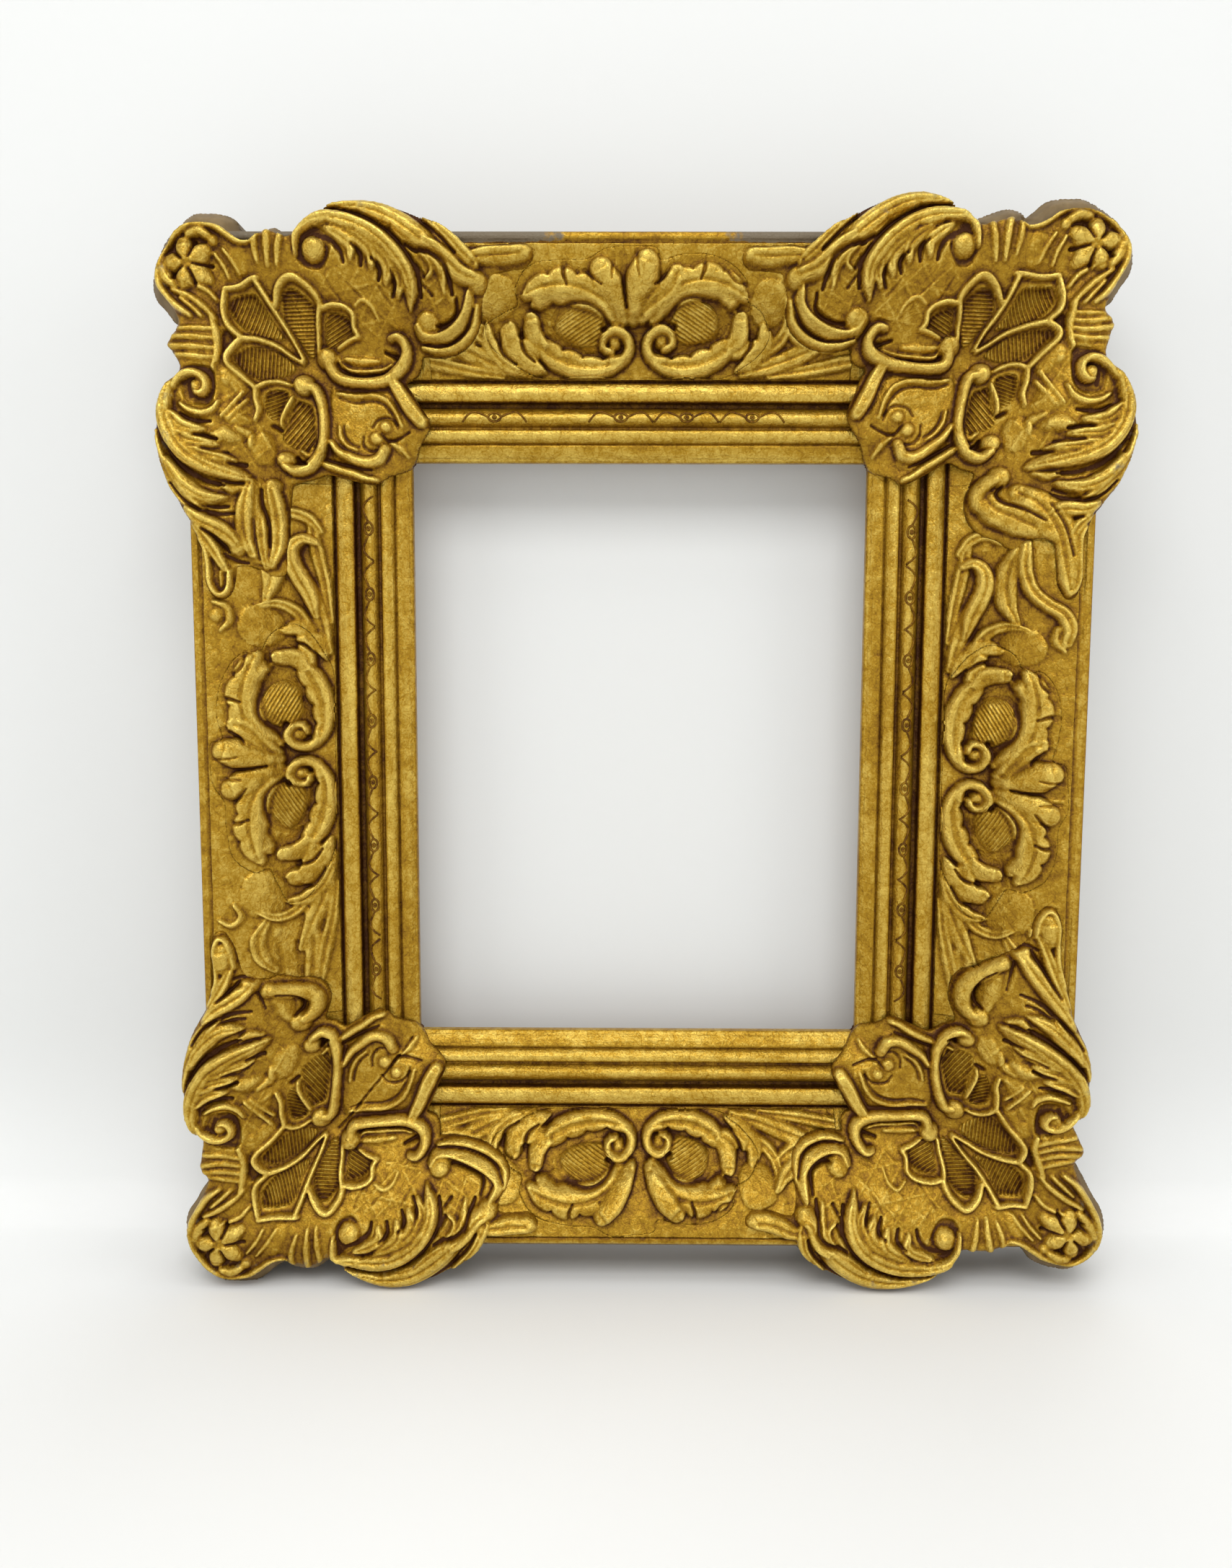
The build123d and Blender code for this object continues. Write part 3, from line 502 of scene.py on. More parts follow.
def mouldingTree():
    tree = bpy.data.node_groups.new("mitredMoulding", "GeometryNodeTree")
    sockets = tree.interface
    sockets.new_socket("Section", in_out="INPUT", socket_type="NodeSocketGeometry")
    for label, kind in (("Half run", "NodeSocketFloat"), ("Rings", "NodeSocketInt"),
                        ("Finish", "NodeSocketMaterial")):
        sockets.new_socket(label, in_out="INPUT", socket_type=kind)
    sockets.new_socket("Moulding", in_out="OUTPUT", socket_type="NodeSocketGeometry")
    add, link = tree.nodes.new, tree.links.new
    given = add("NodeGroupInput")
    result = add("NodeGroupOutput")
    toCurve = add("GeometryNodeMeshToCurve")
    line = add("GeometryNodeCurvePrimitiveLine")
    line.inputs["Start"].default_value = (-1, 0, 0)
    line.inputs["End"].default_value = (1, 0, 0)
    rings = add("GeometryNodeResampleCurve")
    sweep = add("GeometryNodeCurveToMesh")
    sweep.inputs["Fill Caps"].default_value = True
    place = add("GeometryNodeInputPosition")
    split = add("ShaderNodeSeparateXYZ")
    reach = add("ShaderNodeMath")
    reach.operation = "SUBTRACT"
    stretch = add("ShaderNodeMath")
    stretch.operation = "MULTIPLY"
    join = add("ShaderNodeCombineXYZ")
    move = add("GeometryNodeSetPosition")
    real = add("GeometryNodeRealizeInstances")
    finish = add("GeometryNodeSetMaterial")
    link(given.outputs["Section"], toCurve.inputs[0])
    link(line.outputs[0], rings.inputs["Curve"])
    link(given.outputs["Rings"], rings.inputs["Count"])
    link(rings.outputs[0], sweep.inputs["Curve"])
    link(toCurve.outputs[0], sweep.inputs["Profile Curve"])
    link(place.outputs[0], split.inputs[0])
    link(given.outputs["Half run"], reach.inputs[0])    # the mitre: each fibre is as long as it lies far out
    link(split.outputs["Y"], reach.inputs[1])
    link(split.outputs["X"], stretch.inputs[0])
    link(reach.outputs[0], stretch.inputs[1])
    link(stretch.outputs[0], join.inputs["X"])
    link(split.outputs["Y"], join.inputs["Y"])
    link(split.outputs["Z"], join.inputs["Z"])
    link(sweep.outputs[0], move.inputs["Geometry"])
    link(join.outputs[0], move.inputs["Position"])
    link(move.outputs[0], real.inputs[0])
    link(real.outputs[0], finish.inputs["Geometry"])
    link(given.outputs["Finish"], finish.inputs["Material"])
    link(finish.outputs[0], result.inputs[0])
    return tree


def setInput(modifier, tree, label, value):
    for item in tree.interface.items_tree:
        if item.item_type == "SOCKET" and item.in_out == "INPUT" and item.name == label:
            modifier[item.identifier] = value


def evaluated(obj):
    graph = bpy.context.evaluated_depsgraph_get()
    return bpy.data.meshes.new_from_object(obj.evaluated_get(graph))


def meshArrays(mesh):
    points = np.empty(len(mesh.vertices) * 3)
    mesh.vertices.foreach_get("co", points)
    return points.reshape(-1, 3), [list(p.vertices) for p in mesh.polygons]


# Tone of the gold on the mouldings by distance out from the sight edge: the dips at the grooves, the channels and
# past the rim are painted shade, together with toning gathered there; the rest is how clean the gold is
stripTone = np.array([(0, 0.48), (1, 0.58), (5.5, 0.50), (6.6, 0.40), (6.9, 0.16), (7.3, 0.3), (8, 0.56),
                      (11.5, 0.64), (12.3, 0.45), (13.0, 0.1), (13.9, 0.2), (15, 0.5), (17.5, 0.62),
                      (20, 0.42), (21.2, 0.12)])
railTone = np.array([(21.2, 0.0), (23.4, 0.0), (23.6, 0.3), (24.4, 0.62), (29.6, 0.66), (30.6, 0.45), (31.1, 0.0),
                     (32.1, 0.0), (32.6, 0.3), (34, 0.55), (45, 0.58), (60, 0.58), (74, 0.55), (77.8, 0.45),
                     (78.3, 0.1), (78.9, 0.3), (79.8, 0.56), (82, 0.54), (83.4, 0.36), (84, -0.1)])


def turnTo(side, along, out, height):
    hw, hh = moulding["halfWidth"], moulding["halfHeight"]
    if side == "top":
        return toRoom(along, hh + out, height)
    if side == "bottom":
        return toRoom(-along, -hh - out, height)
    if side == "left":
        return toRoom(-hw - out, along, height)
    return toRoom(hw + out, -along, height)


def sweepSide(kind, side, section, step, tone, tree):
    section = denser(section, step)
    mesh = bpy.data.meshes.new(kind + side)
    flat = np.c_[section, np.zeros(len(section))]
    ring = [(k, (k + 1) % len(section)) for k in range(len(section))]
    mesh.from_pydata(flat.tolist(), ring, [])
    blank = bpy.data.objects.new(kind + side, mesh)
    bpy.context.scene.collection.objects.link(blank)
    run = moulding["halfWidth"] if side in ("top", "bottom") else moulding["halfHeight"]
    modifier = blank.modifiers.new("moulding", "NODES")
    modifier.node_group = tree
    setInput(modifier, tree, "Half run", run)
    setInput(modifier, tree, "Rings", int(2 * (run + 40) / sections["ringLength"]))
    setInput(modifier, tree, "Finish", giltLying)
    swept = evaluated(blank)
    bpy.data.objects.remove(blank)
    points, faces = meshArrays(swept)
    out, height, along = -points[:, 1], -points[:, 2], points[:, 0]
    cavity = np.interp(out, tone[:, 0], tone[:, 1])
    if kind == "rail_":
        # painted shade down in the channel between strip and rail
        cavity = np.where(height < sections["channelUnder"], sections["channelTone"], cavity)
    centre = np.array([points[f].mean(0) for f in faces])
    centreOut, centreHeight = -centre[:, 1], -centre[:, 2]
    outerFace = (centreOut > moulding["railFace"] - 0.05) & (centreHeight < sections["woodUnder"])
    hidden = outerFace | (centreHeight < sections["ledgeUnder"])
    room = turnTo(side, along, out, height)
    # the top and bottom take the copy painted lighter: painted light
    front = giltLying if side in ("top", "bottom") else giltStanding
    mats = [front, backWood, tonedWood]
    slots = np.where(hidden, np.where(centreOut > sections["woodFrom"], 2, 1), 0)
    name = kind + side
    worn = np.zeros(len(out))
    if name == "rail_top":
        wear = topWear
        cavity = cavity - wear["dull"] * (out > wear["dullFrom"])
        bare = np.clip((np.abs(along) - wear["sound"]) / wear["spread"], 0, wear["most"])
        worn = np.clip(out - wear["from"], 0, 1) * bare
    obj = addPiece(name + "_gilt", room, faces, mats, slots=slots, cavity=cavity, worn=worn)
    fit(obj, name)


mouldings = mouldingTree()
for side in sides:
    sweepSide("rail_", side, railSection(*sections["spread"][side]), sections["railStep"], railTone, mouldings)
    sweepSide("sight_strip_", side, stripSection(), sections["stripStep"], stripTone, mouldings)
print("rails and sight strips swept")


# Carving: strokes raised and cut on a board, like working wax

def smoothRun(points, step=0.8, closed=False):
    p = np.asarray(points, float)
    if len(p) == 1:
        return np.vstack([p, p + 1e-3]), np.array([0.0, 1.0])
    if closed:
        ext = np.vstack([p[-1:], p, p[:2]])
    else:
        ext = np.vstack([2 * p[0] - p[1], p, 2 * p[-1] - p[-2]])
    rows = []
    t = np.linspace(0, 1, 10, endpoint=False)[:, None]
    for k in range(len(ext) - 3):
        a, b, c, d = ext[k:k + 4]
        rows.append(0.5 * (2 * b + (c - a) * t + (2 * a - 5 * b + 4 * c - d) * t**2 + (3 * b - a - 3 * c + d) * t**3))
    rows.append(p[:1] if closed else p[-1:])
    fine = np.vstack(rows)
    lengths = np.r_[0, np.cumsum(np.hypot(*np.diff(fine, axis=0).T))]
    count = max(3, int(lengths[-1] / step) + 1)
    spots = np.linspace(0, lengths[-1], count)
    run = np.c_[np.interp(spots, lengths, fine[:, 0]), np.interp(spots, lengths, fine[:, 1])]
    return run, spots / lengths[-1]


def blurred(z, reach, step):
    k = np.fft.fftfreq(z.shape[0] + 60)[:, None]
    m = np.fft.rfftfreq(z.shape[1] + 60)[None, :]
    sigma = reach / step
    kernel = np.exp(-2 * (pi * sigma)**2 * (k * k + m * m))
    padded = np.pad(z, ((30, 30), (30, 30)), mode="edge")
    return np.fft.irfft2(np.fft.rfft2(padded) * kernel, s=padded.shape)[30:-30, 30:-30]


def newBoard(low, high, step, place, ground, seed):
    a = np.arange(low[0], high[0] + step, step)
    b = np.arange(low[1], high[1] + step, step)
    shape = (len(a), len(b))
    hand = np.random.default_rng(seed)
    uneven = sum(weight * blurred(hand.normal(size=shape), reach, step) * reach / step
                 for weight, reach in ((0.17, 0.5), (0.20, 0.9), (0.24, 2.6)))
    return {"a": a, "b": b, "step": step, "place": place, "ground": ground, "z": ground + uneven,
            "tooling": np.zeros(shape), "tooled": np.zeros(shape)}


def windowOf(board, run, reach):
    lo = run.min(0) - reach
    hi = run.max(0) + reach
    i = slice(*np.searchsorted(board["a"], (lo[0], hi[0])))
    j = slice(*np.searchsorted(board["b"], (lo[1], hi[1])))
    return i, j


# For every spot near a stroke: how far off its spine it lies, as a signed share of the half width, and where along
def strokeField(board, points, widths):
    run, share = smoothRun(board["place"](points))
    widths = np.atleast_1d(widths)
    half = np.interp(share, np.linspace(0, 1, len(widths)), widths) / 2
    i, j = windowOf(board, run, half.max() + board["step"])
    x, y = np.meshgrid(board["a"][i], board["b"][j], indexing="ij")
    shape = x.shape
    x, y = x.ravel()[:, None], y.ravel()[:, None]
    p, q = run[:-1], run[1:]
    d = q - p
    along = ((x - p[:, 0]) * d[:, 0] + (y - p[:, 1]) * d[:, 1]) / np.maximum((d**2).sum(1), 1e-9)
    along = np.clip(along, 0, 1)
    offX, offY = x - p[:, 0] - along * d[:, 0], y - p[:, 1] - along * d[:, 1]
    width = half[:-1] + (half[1:] - half[:-1]) * along
    ratio = np.hypot(offX, offY) / width
    best = ratio.argmin(1)
    rows = np.arange(len(best))
    side = np.sign(d[best, 0] * offY[rows, best] - d[best, 1] * offX[rows, best])
    where = share[best] + (share[best + 1] - share[best]) * along[rows, best]
    return (i, j), (ratio[rows, best] * side).reshape(shape), where.reshape(shape)


profiles = {
    "round": lambda v: np.sqrt(np.clip(1 - v * v, 0, 1)),
    "soft": lambda v: np.clip(1 - v * v, 0, 1)**1.5,
    "flat": lambda v: np.clip((1 - np.abs(v)) * 2.6, 0, 1)**0.5,
    "leaf": lambda v: np.interp(v, [-1, -0.85, -0.45, 0.1, 0.55, 0.9, 1], [0, 0.72, 1, 0.78, 0.6, 0.42, 0]),
}


def ridge(board, points, widths, height=3.5, foot=0.8, profile="round"):
    (i, j), v, where = strokeField(board, points, widths)
    on = np.abs(v) < 1
    fade = np.clip(np.minimum(where, 1 - where) * 6 + 0.8, 0, 1)
    z = board["z"][i, j]
    lifted = foot + height * profiles[profile](v) * fade
    z[on] = np.maximum(z[on], lifted[on])


def groove(board, points, widths, depth=2.0):
    (i, j), v, where = strokeField(board, points, widths)
    on = np.abs(v) < 1
    z = board["z"][i, j]
    z[on] -= (depth * profiles["soft"](v))[on]


def insideOf(x, y, ring):
    inside = np.zeros(x.shape, bool)
    for (x0, y0), (x1, y1) in zip(ring, np.roll(ring, -1, axis=0)):
        if y0 == y1:
            continue
        crosses = (y0 > y) != (y1 > y)
        inside ^= crosses & (x < x0 + (y - y0) * (x1 - x0) / (y1 - y0))
    return inside


# Signed distance to a closed outline, positive inside, with the nearest outline point
def outlineField(board, ring, reach):
    i, j = windowOf(board, ring, reach + board["step"])
    x, y = np.meshgrid(board["a"][i], board["b"][j], indexing="ij")
    nearest = np.full(x.shape, reach)
    nearX, nearY = x.copy(), y.copy()
    a0, b0, step = board["a"][i][0], board["b"][j][0], board["step"]
    for p, q in zip(ring, np.roll(ring, -1, axis=0)):
        lo = np.minimum(p, q) - reach
        hi = np.maximum(p, q) + reach
        ii = slice(max(0, int((lo[0] - a0) / step)), max(0, int((hi[0] - a0) / step) + 2))
        jj = slice(max(0, int((lo[1] - b0) / step)), max(0, int((hi[1] - b0) / step) + 2))
        xs, ys = x[ii, jj], y[ii, jj]
        if not xs.size:
            continue
        d = q - p
        t = np.clip(((xs - p[0]) * d[0] + (ys - p[1]) * d[1]) / max((d**2).sum(), 1e-9), 0, 1)
        fx, fy = p[0] + t * d[0], p[1] + t * d[1]
        gap = np.hypot(xs - fx, ys - fy)
        closer = gap < nearest[ii, jj]
        nearest[ii, jj][closer] = gap[closer]
        nearX[ii, jj][closer] = fx[closer]
        nearY[ii, jj][closer] = fy[closer]
    sign = np.where(insideOf(x, y, ring), 1, -1)
    return (i, j), nearest * sign, nearX, nearY


def closedRing(board, points, step=0.8):
    return smoothRun(board["place"](points), step, closed=True)[0][:-1]


# A sunk cell: its floor slopes from one level to another between two spots; tooling is (turn, pitch) of fine lines
def cell(board, points, outer, inner, edge=1.3, tooling=None):
    ring = closedRing(board, points)
    (i, j), gap, _, _ = outlineField(board, ring, edge)
    x, y = np.meshgrid(board["a"][i], board["b"][j], indexing="ij")
    ends = board["place"]([outer[0], inner[0]])
    run = ends[1] - ends[0]
    share = np.clip(((x - ends[0][0]) * run[0] + (y - ends[0][1]) * run[1]) / (run**2).sum(), 0, 1)
    level = outer[1] + (inner[1] - outer[1]) * share
    blend = np.clip(gap / edge, 0, 1)
    blend = blend * blend * (3 - 2 * blend)
    z = board["z"][i, j]
    z[:] = z * (1 - blend) + (level + 0.4 * (z - board["ground"])) * blend
    if tooling:
        hatch(board, (i, j), tooling, blend)


# A pillow with a rounded edge
def mound(board, points, height, foot=0.8, edge=4.0, tooling=None):
    (i, j), gap, _, _ = outlineField(board, closedRing(board, points), edge)
    z = board["z"][i, j]
    lifted = foot + height * np.sqrt(np.clip(1 - (1 - gap / edge)**2, 0, 1))
    z[:] = np.where(gap > 0, np.maximum(z, lifted), z)
    if tooling:
        hatch(board, (i, j), tooling, np.clip(gap / 1.5, 0, 1))


# Fine cut lines, across the given turn and that far apart
def hatch(board, spot, tooling, share):
    i, j = spot
    turn, pitch = tooling
    x, y = np.meshgrid(board["a"][i], board["b"][j], indexing="ij")
    phase = (x * cos(radians(turn)) + y * sin(radians(turn))) / pitch
    board["tooling"][i, j] = np.where(share > 0, phase, board["tooling"][i, j])
    board["tooled"][i, j] = np.maximum(board["tooled"][i, j], share)


# Thin raised lines that cross a stretch of ground: (turn, pitch, start) for each family
def lattice(board, points, families, height=0.55, thick=0.9):
    (i, j), gap, _, _ = outlineField(board, closedRing(board, points), 2.0)
    x, y = np.meshgrid(board["a"][i], board["b"][j], indexing="ij")
    lines = np.zeros(x.shape)
    for turn, pitch, start in families:
        across = x * cos(radians(turn)) + y * sin(radians(turn)) - start
        off = np.abs((across + pitch / 2) % pitch - pitch / 2)
        lines = np.maximum(lines, np.clip(1 - (2 * off / thick)**2, 0, 1))
    z = board["z"][i, j]
    z += height * lines * np.clip(gap / 1.5, 0, 1)


# An acanthus leaf: a broad stroke with cut veins and a scalloped edge on one side (1 left of the run, -1 right)
def frond(board, points, widths, height=4.5, foot=0.8, veins=3, lobes=0, side=1, depth=0.9):
    (i, j), v, where = strokeField(board, points, widths)
    reach = np.ones(v.shape)
    if lobes:
        scallop = 0.66 + 0.34 * np.abs(np.sin(pi * lobes * where))**0.55
        reach = np.where(v * side > 0, scallop, 1.0)
    v = v / reach
    on = np.abs(v) < 1
    fade = np.clip(np.minimum(where, 1 - where) * 4 + 0.74, 0, 1)
    lean = 1 - 0.22 * v * side
    lifted = foot + height * np.sqrt(np.clip(1 - v**4, 0, 1)) * lean * fade
    if veins:
        sweep = (v + 0.25 * side * (where - 0.5)) * veins / 2
        off = np.abs(sweep - np.round(sweep))
        lifted -= depth * np.clip(1 - (off / 0.16)**2, 0, 1) * np.clip((1 - np.abs(v)) * 4, 0, 1)
    z = board["z"][i, j]
    z[on] = np.maximum(z[on], lifted[on])


# The height that carved pieces stand on, by distance out from the sight edge

bed = np.array([(-12, 13.6), (0, 15.6), (4, 18.6), (9, 21.6), (20, 22.8), (33, 23.6), (40, 25.8), (48, 30.6),
                (55.25, 36.0), (63, 41.6), (70, 45.6), (76, 48.2), (80, 49.2), (86, 49.0), (110, 48.6)])
under = np.array([(-12, 9.5), (0, 9.5), (5, 13.0), (9, 15.5), (22, 14.0), (33, 16.0), (55.25, 31.0), (76, 44.0),
                  (81, 44.6), (110, 44.6)])


def bedHeight(table, out):
    return np.interp(out, table[:, 0], table[:, 1])


def railTop(out):
    low = arcRun((32.1, 18.2), (55.25, 33.1), -1.8, 12)
    high = arcRun((55.25, 33.1), (78.2, 47.6), 1.8, 12)
    inner, outer = [(-20, 9.0), (23.4, 9.0), (23.8, 20.3), (31.0, 20.3)], [(78.6, 48.6), (120, 48.6)]
    line = np.vstack([inner, low, high[1:], outer])
    return np.interp(out, line[:, 0], line[:, 1])


# Draws the points beside the outline onto it, and tells which points and cells stay
def trimmed(step, gap, nearX, nearY, x, y):
    x, y = x.copy(), y.copy()
    snap = (gap < 0.32 * step) & (gap > -0.72 * step)
    x[snap], y[snap] = nearX[snap], nearY[snap]
    keep = gap > -0.72 * step
    cells = keep[:-1, :-1] & keep[1:, :-1] & keep[1:, 1:] & keep[:-1, 1:]
    middle = (gap[:-1, :-1] + gap[1:, 1:] + gap[1:, :-1] + gap[:-1, 1:]) / 4
    cells &= middle > -0.05
    return x, y, keep, cells


def meshBoard(board, field, place, name, mats, surface, floor, cavity, lip=2.2, tuck=1.0, edgeTone=0.15, **spots):
    (i, j), gap, nearX, nearY = field
    x, y = np.meshgrid(board["a"][i], board["b"][j], indexing="ij")
    height = surface(x, y, gap)
    x, y, keep, cells = trimmed(board["step"], gap, nearX, nearY, x, y)
    cavity = cavity[i, j] if cavity.shape != gap.shape else cavity
    number = np.arange(keep.size).reshape(keep.shape)
    quads = np.stack([number[:-1, :-1][cells], number[1:, :-1][cells], number[1:, 1:][cells],
                      number[:-1, 1:][cells]], 1)
    used = np.unique(quads)
    renumber = np.full(keep.size, -1)
    renumber[used] = np.arange(len(used))
    quads = renumber[quads]
    px, py, ph, cav = (grid.ravel()[used] for grid in (x, y, height, cavity))
    count = len(used)
    # open edges, each in the direction that its quad runs
    edges = np.vstack([quads[:, [0, 1]], quads[:, [1, 2]], quads[:, [2, 3]], quads[:, [3, 0]]])
    key = np.sort(edges, 1)
    _, first, times = np.unique(key[:, 0].astype(np.int64) * count + key[:, 1], return_index=True, return_counts=True)
    rim = edges[first[times == 1]]
    rimPoints = np.unique(rim)
    inward = np.zeros((count, 2))
    d = np.c_[px[rim[:, 1]] - px[rim[:, 0]], py[rim[:, 1]] - py[rim[:, 0]]]
    left = np.c_[-d[:, 1], d[:, 0]]
    np.add.at(inward, rim[:, 0], left)
    np.add.at(inward, rim[:, 1], left)
    inward /= np.maximum(np.hypot(*inward.T), 1e-6)[:, None]
    floorH = np.minimum(floor(px, py), ph - 0.6)
    lowIndex = np.full(count, -1)
    lowIndex[rimPoints] = np.arange(len(rimPoints))
    lipH = np.maximum(ph[rimPoints] - lip, floorH[rimPoints] + 0.1)
    tuckX = px[rimPoints] + inward[rimPoints, 0] * tuck
    tuckY = py[rimPoints] + inward[rimPoints, 1] * tuck
    floorX, floorY = px.copy(), py.copy()
    floorX[rimPoints], floorY[rimPoints] = tuckX, tuckY
    allX = np.concatenate([px, px[rimPoints], tuckX, floorX])
    allY = np.concatenate([py, py[rimPoints], tuckY, floorY])
    allH = np.concatenate([ph, lipH, lipH, floorH])
    nRim = len(rimPoints)
    a, b = rim[:, 0], rim[:, 1]
    la, lb = count + lowIndex[a], count + lowIndex[b]
    ta, tb = la + nRim, lb + nRim
    fa, fb = count + 2 * nRim + a, count + 2 * nRim + b
    faces = np.vstack([quads, np.c_[b, a, la, lb], np.c_[lb, la, ta, tb], np.c_[tb, ta, fa, fb],
                       count + 2 * nRim + quads[:, ::-1]])
    flat = np.zeros(len(faces), bool)
    flat[len(quads):len(quads) + 3 * len(rim)] = True
    # the side walls take a fixed darker tone: painted shade at the piece's edge; the hidden floor takes the darkest
    extra = {"cavity": np.concatenate([cav, np.full(2 * nRim, edgeTone), np.full(count, 0.0)])}
    for label, grid in spots.items():
        grid = grid[i, j] if grid.shape != gap.shape else grid
        extra[label] = np.concatenate([grid.ravel()[used], np.zeros(2 * nRim + count)])
    points = place(allX, allY, allH)
    # the face side must look out towards -Y
    p0, p1, p2 = (points[faces[0][k]] for k in (0, 1, 2))
    if np.cross(p1 - p0, p2 - p0)[1] > 0:
        faces = faces[:, ::-1]
    return addPiece(name, points, faces, mats, flat=flat, **extra)


toneWeights = {"crest": 0.34, "cut": 0.54, "wide": 0.10, "tooled": 0.07}


# How hollow or proud each spot is beside its neighbours; the finish turns this into painted shade in the hollows and
# painted highlight on the crests, over the gilding's own toning
def hollowTone(board, base=0.50, deep=1.0):
    z, step = board["z"], board["step"]
    fine = z - blurred(z, 0.8, step)
    wide = np.clip(z - blurred(z, 3.2, step), -2.6, 1.6)
    crest, cut = np.clip(fine, 0, 0.8), np.clip(fine, -1.0, 0)
    w = toneWeights
    return base + deep * (w["crest"] * crest + w["cut"] * cut + w["wide"] * wide) - w["tooled"] * board["tooled"]


# Thin plate warp: carries the corner read from the photograph's top left to the other three
def plateWarp(source, target, stiffness=2.0):
    def kernel(d2):
        return np.where(d2 > 0, d2 * np.log(np.maximum(d2, 1e-9)), 0)
    n = len(source)
    d2 = ((source[:, None] - source[None])**2).sum(-1)
    system = np.zeros((n + 3, n + 3))
    system[:n, :n] = kernel(d2) + np.eye(n) * stiffness
    system[:n, n] = 1
    system[:n, n + 1:] = source
    system[n:, :n] = system[:n, n:].T
    weights = np.linalg.solve(system, np.vstack([target, np.zeros((3, 2))]))

    def warp(points):
        points = np.asarray(points, float)
        d2 = ((points[:, None] - source[None])**2).sum(-1)
        return kernel(d2) @ weights[:n] + weights[n] + points @ weights[n + 1:]
    return warp


# The same spots on each corner, outwards from the sight corner: across, then up or down.
# Order: top left, top right, bottom left, bottom right.
sameSpots = [
    [(94.5, 64), (94.1, 74.4), (94, 74.4), (99.4, 72.3)],
    [(75, 89.5), (71, 94.9), (74.4, 100), (80.9, 91.3)],
    [(56, 80.5), (52.7, 86.6), (52.7, 90.4), (60.1, 80.4)],
    [(49, 85.5), (47.3, 91.1), (42, 94), (53, 84.9)],
    [(41, 81.7), (35.1, 86.9), (34.7, 89.4), (40.6, 83.7)],
    [(14, 94.3), (12.3, 97.6), (10.1, 100.2), (11.6, 99.1)],
    [(30, 90.5), (27.3, 91.6), (30.1, 90.9), (33, 91.5)],
    [(31.5, 76), (28.4, 77.6), (25.1, 77.3), (33, 78)],
    [(-25, 81.5), (-27.7, 81.6), (-32, 81.6), (-29.9, 81.6)],
    [(-49.5, 75), (-53, 74), (-50, 73.5), (-46, 71.5)],
    [(-5, 58), (-7, 61.6), (-7.7, 61.6), (-4.9, 63.7)],
    [(-31, 64), (-34.9, 65.6), (-32.7, 67.3), (-24.9, 68.7)],
    [(-10.5, 51), (-9.9, 52.3), (-11.3, 52.3), (-9.9, 51.6)],
    [(-28, 57), (-34.1, 58.7), (-37.7, 60.1), (-26.3, 57.3)],
    [(-16, 41), (-20, 43), (-20, 44), (-14.1, 40.9)],
    [(31.5, 38.5), (28.4, 43), (28, 43), (30.1, 38.7)],
    [(15, 30), (17.3, 35.9), (15.9, 36.6), (17.3, 33)],
    [(5, 31), (1.6, 37.3), (0.9, 35.1), (1.6, 33)],
    [(1, 47.5), (-2, 50.9), (-2, 50.1), (1.6, 48)],
    [(-7.5, 14), (-9.1, 17.3), (-10.6, 12.3), (-9.9, 14.4)],
    [(40.5, 28.5), (40.9, 33.4), (40.1, 34.4), (40.1, 29.4)],
    [(48, -1.5), (46.1, 5.9), (43.7, 2.3), (44.4, -2)],
    [(34, 12), (34.4, 18.7), (34.4, 18.7), (33, 15.9)],
    [(36, -1), (34.4, 6), (33.7, 2.3), (33, 1.6)],
    [(15, -8), (14.4, -7), (15.9, -9.1), (15.1, -7)],
    [(40, 37), (38, 41.6), (37.6, 40.9), (38.7, 40.1)],
    [(66.5, 61.5), (65.6, 66.6), (63, 71.3), (66.6, 64.4)],
    [(55.5, 65), (50.9, 66.6), (48, 69.4), (55.9, 64.4)],
    [(43, 66), (38.7, 66.6), (36.6, 68.7), (44.4, 65.6)],
    [(31.5, 57), (29.4, 58.7), (29.4, 60.1), (34.4, 57.3)],
    [(18.5, 55), (17.3, 55.9), (16.6, 57.3), (18.7, 54.4)],
    [(61.5, 43.5), (62.5, 50), (60.1, 53.7), (63.7, 45.9)],
    [(66, 34.5), (66.1, 44.4), (64.1, 45.9), (64.4, 38.7)],
    [(57, 25), (56.6, 33), (53.7, 34.4), (55.1, 25.1)],
    [(50, 13), (48.7, 18.7), (50.1, 18.7), (49.4, 11.6)],
    [(77, 24), (78, 29.9), (76.6, 31.6), (75.9, 26.6)],
    [(95.9, 9), (99, 11.6), (93.4, 17.3), (91.3, 10.1)],
    [(85, 31), (85.1, 36.6), (85.9, 36.6), (85.1, 27.3)],
    [(90.3, 39.5), (88.3, 48), (86.9, 48.7), (89.9, 39.4)],
    [(84.7, 48), (83.7, 53.7), (83.7, 53.7), (86.1, 45.1)],
    [(81.2, -29.5), (81.4, -26.3), (81.2, -21.3), (81.4, -20.6)],
    [(72, -57), (74.4, -55.9), (75.1, -49.9), (71.9, -62)],
    [(60.5, -9), (58.7, -3.4), (59.4, -2), (56.6, -8.4)],
    [(65, -36), (65.9, -24), (65.1, -27), (62.3, -41.3)],
    [(53, -48), (55, -36), (55, -29), (52, -37)],
    [(47, -12), (43.9, -8.4), (41.6, -9.9), (43.7, -11.3)],
    [(0, 0), (0, 0), (0, 0), (0, 0)],
    [(115, 115), (115, 115), (115, 115), (115, 115)],
    [(-65, 81), (-65, 81), (-65, 81), (-65, 81)],
    [(81, -68), (81, -68), (81, -68), (81, -68)],
    [(-65, 35), (-65, 35), (-65, 35), (-65, 35)],
    [(35, -65), (35, -65), (35, -65), (35, -65)],
]
cornerWarp = {
    corner: (lambda points: np.asarray(points, float)) if k == 0 else
    plateWarp(np.array([row[0] for row in sameSpots], float), np.array([row[k] for row in sameSpots], float))
    for k, corner in enumerate(corners)
}

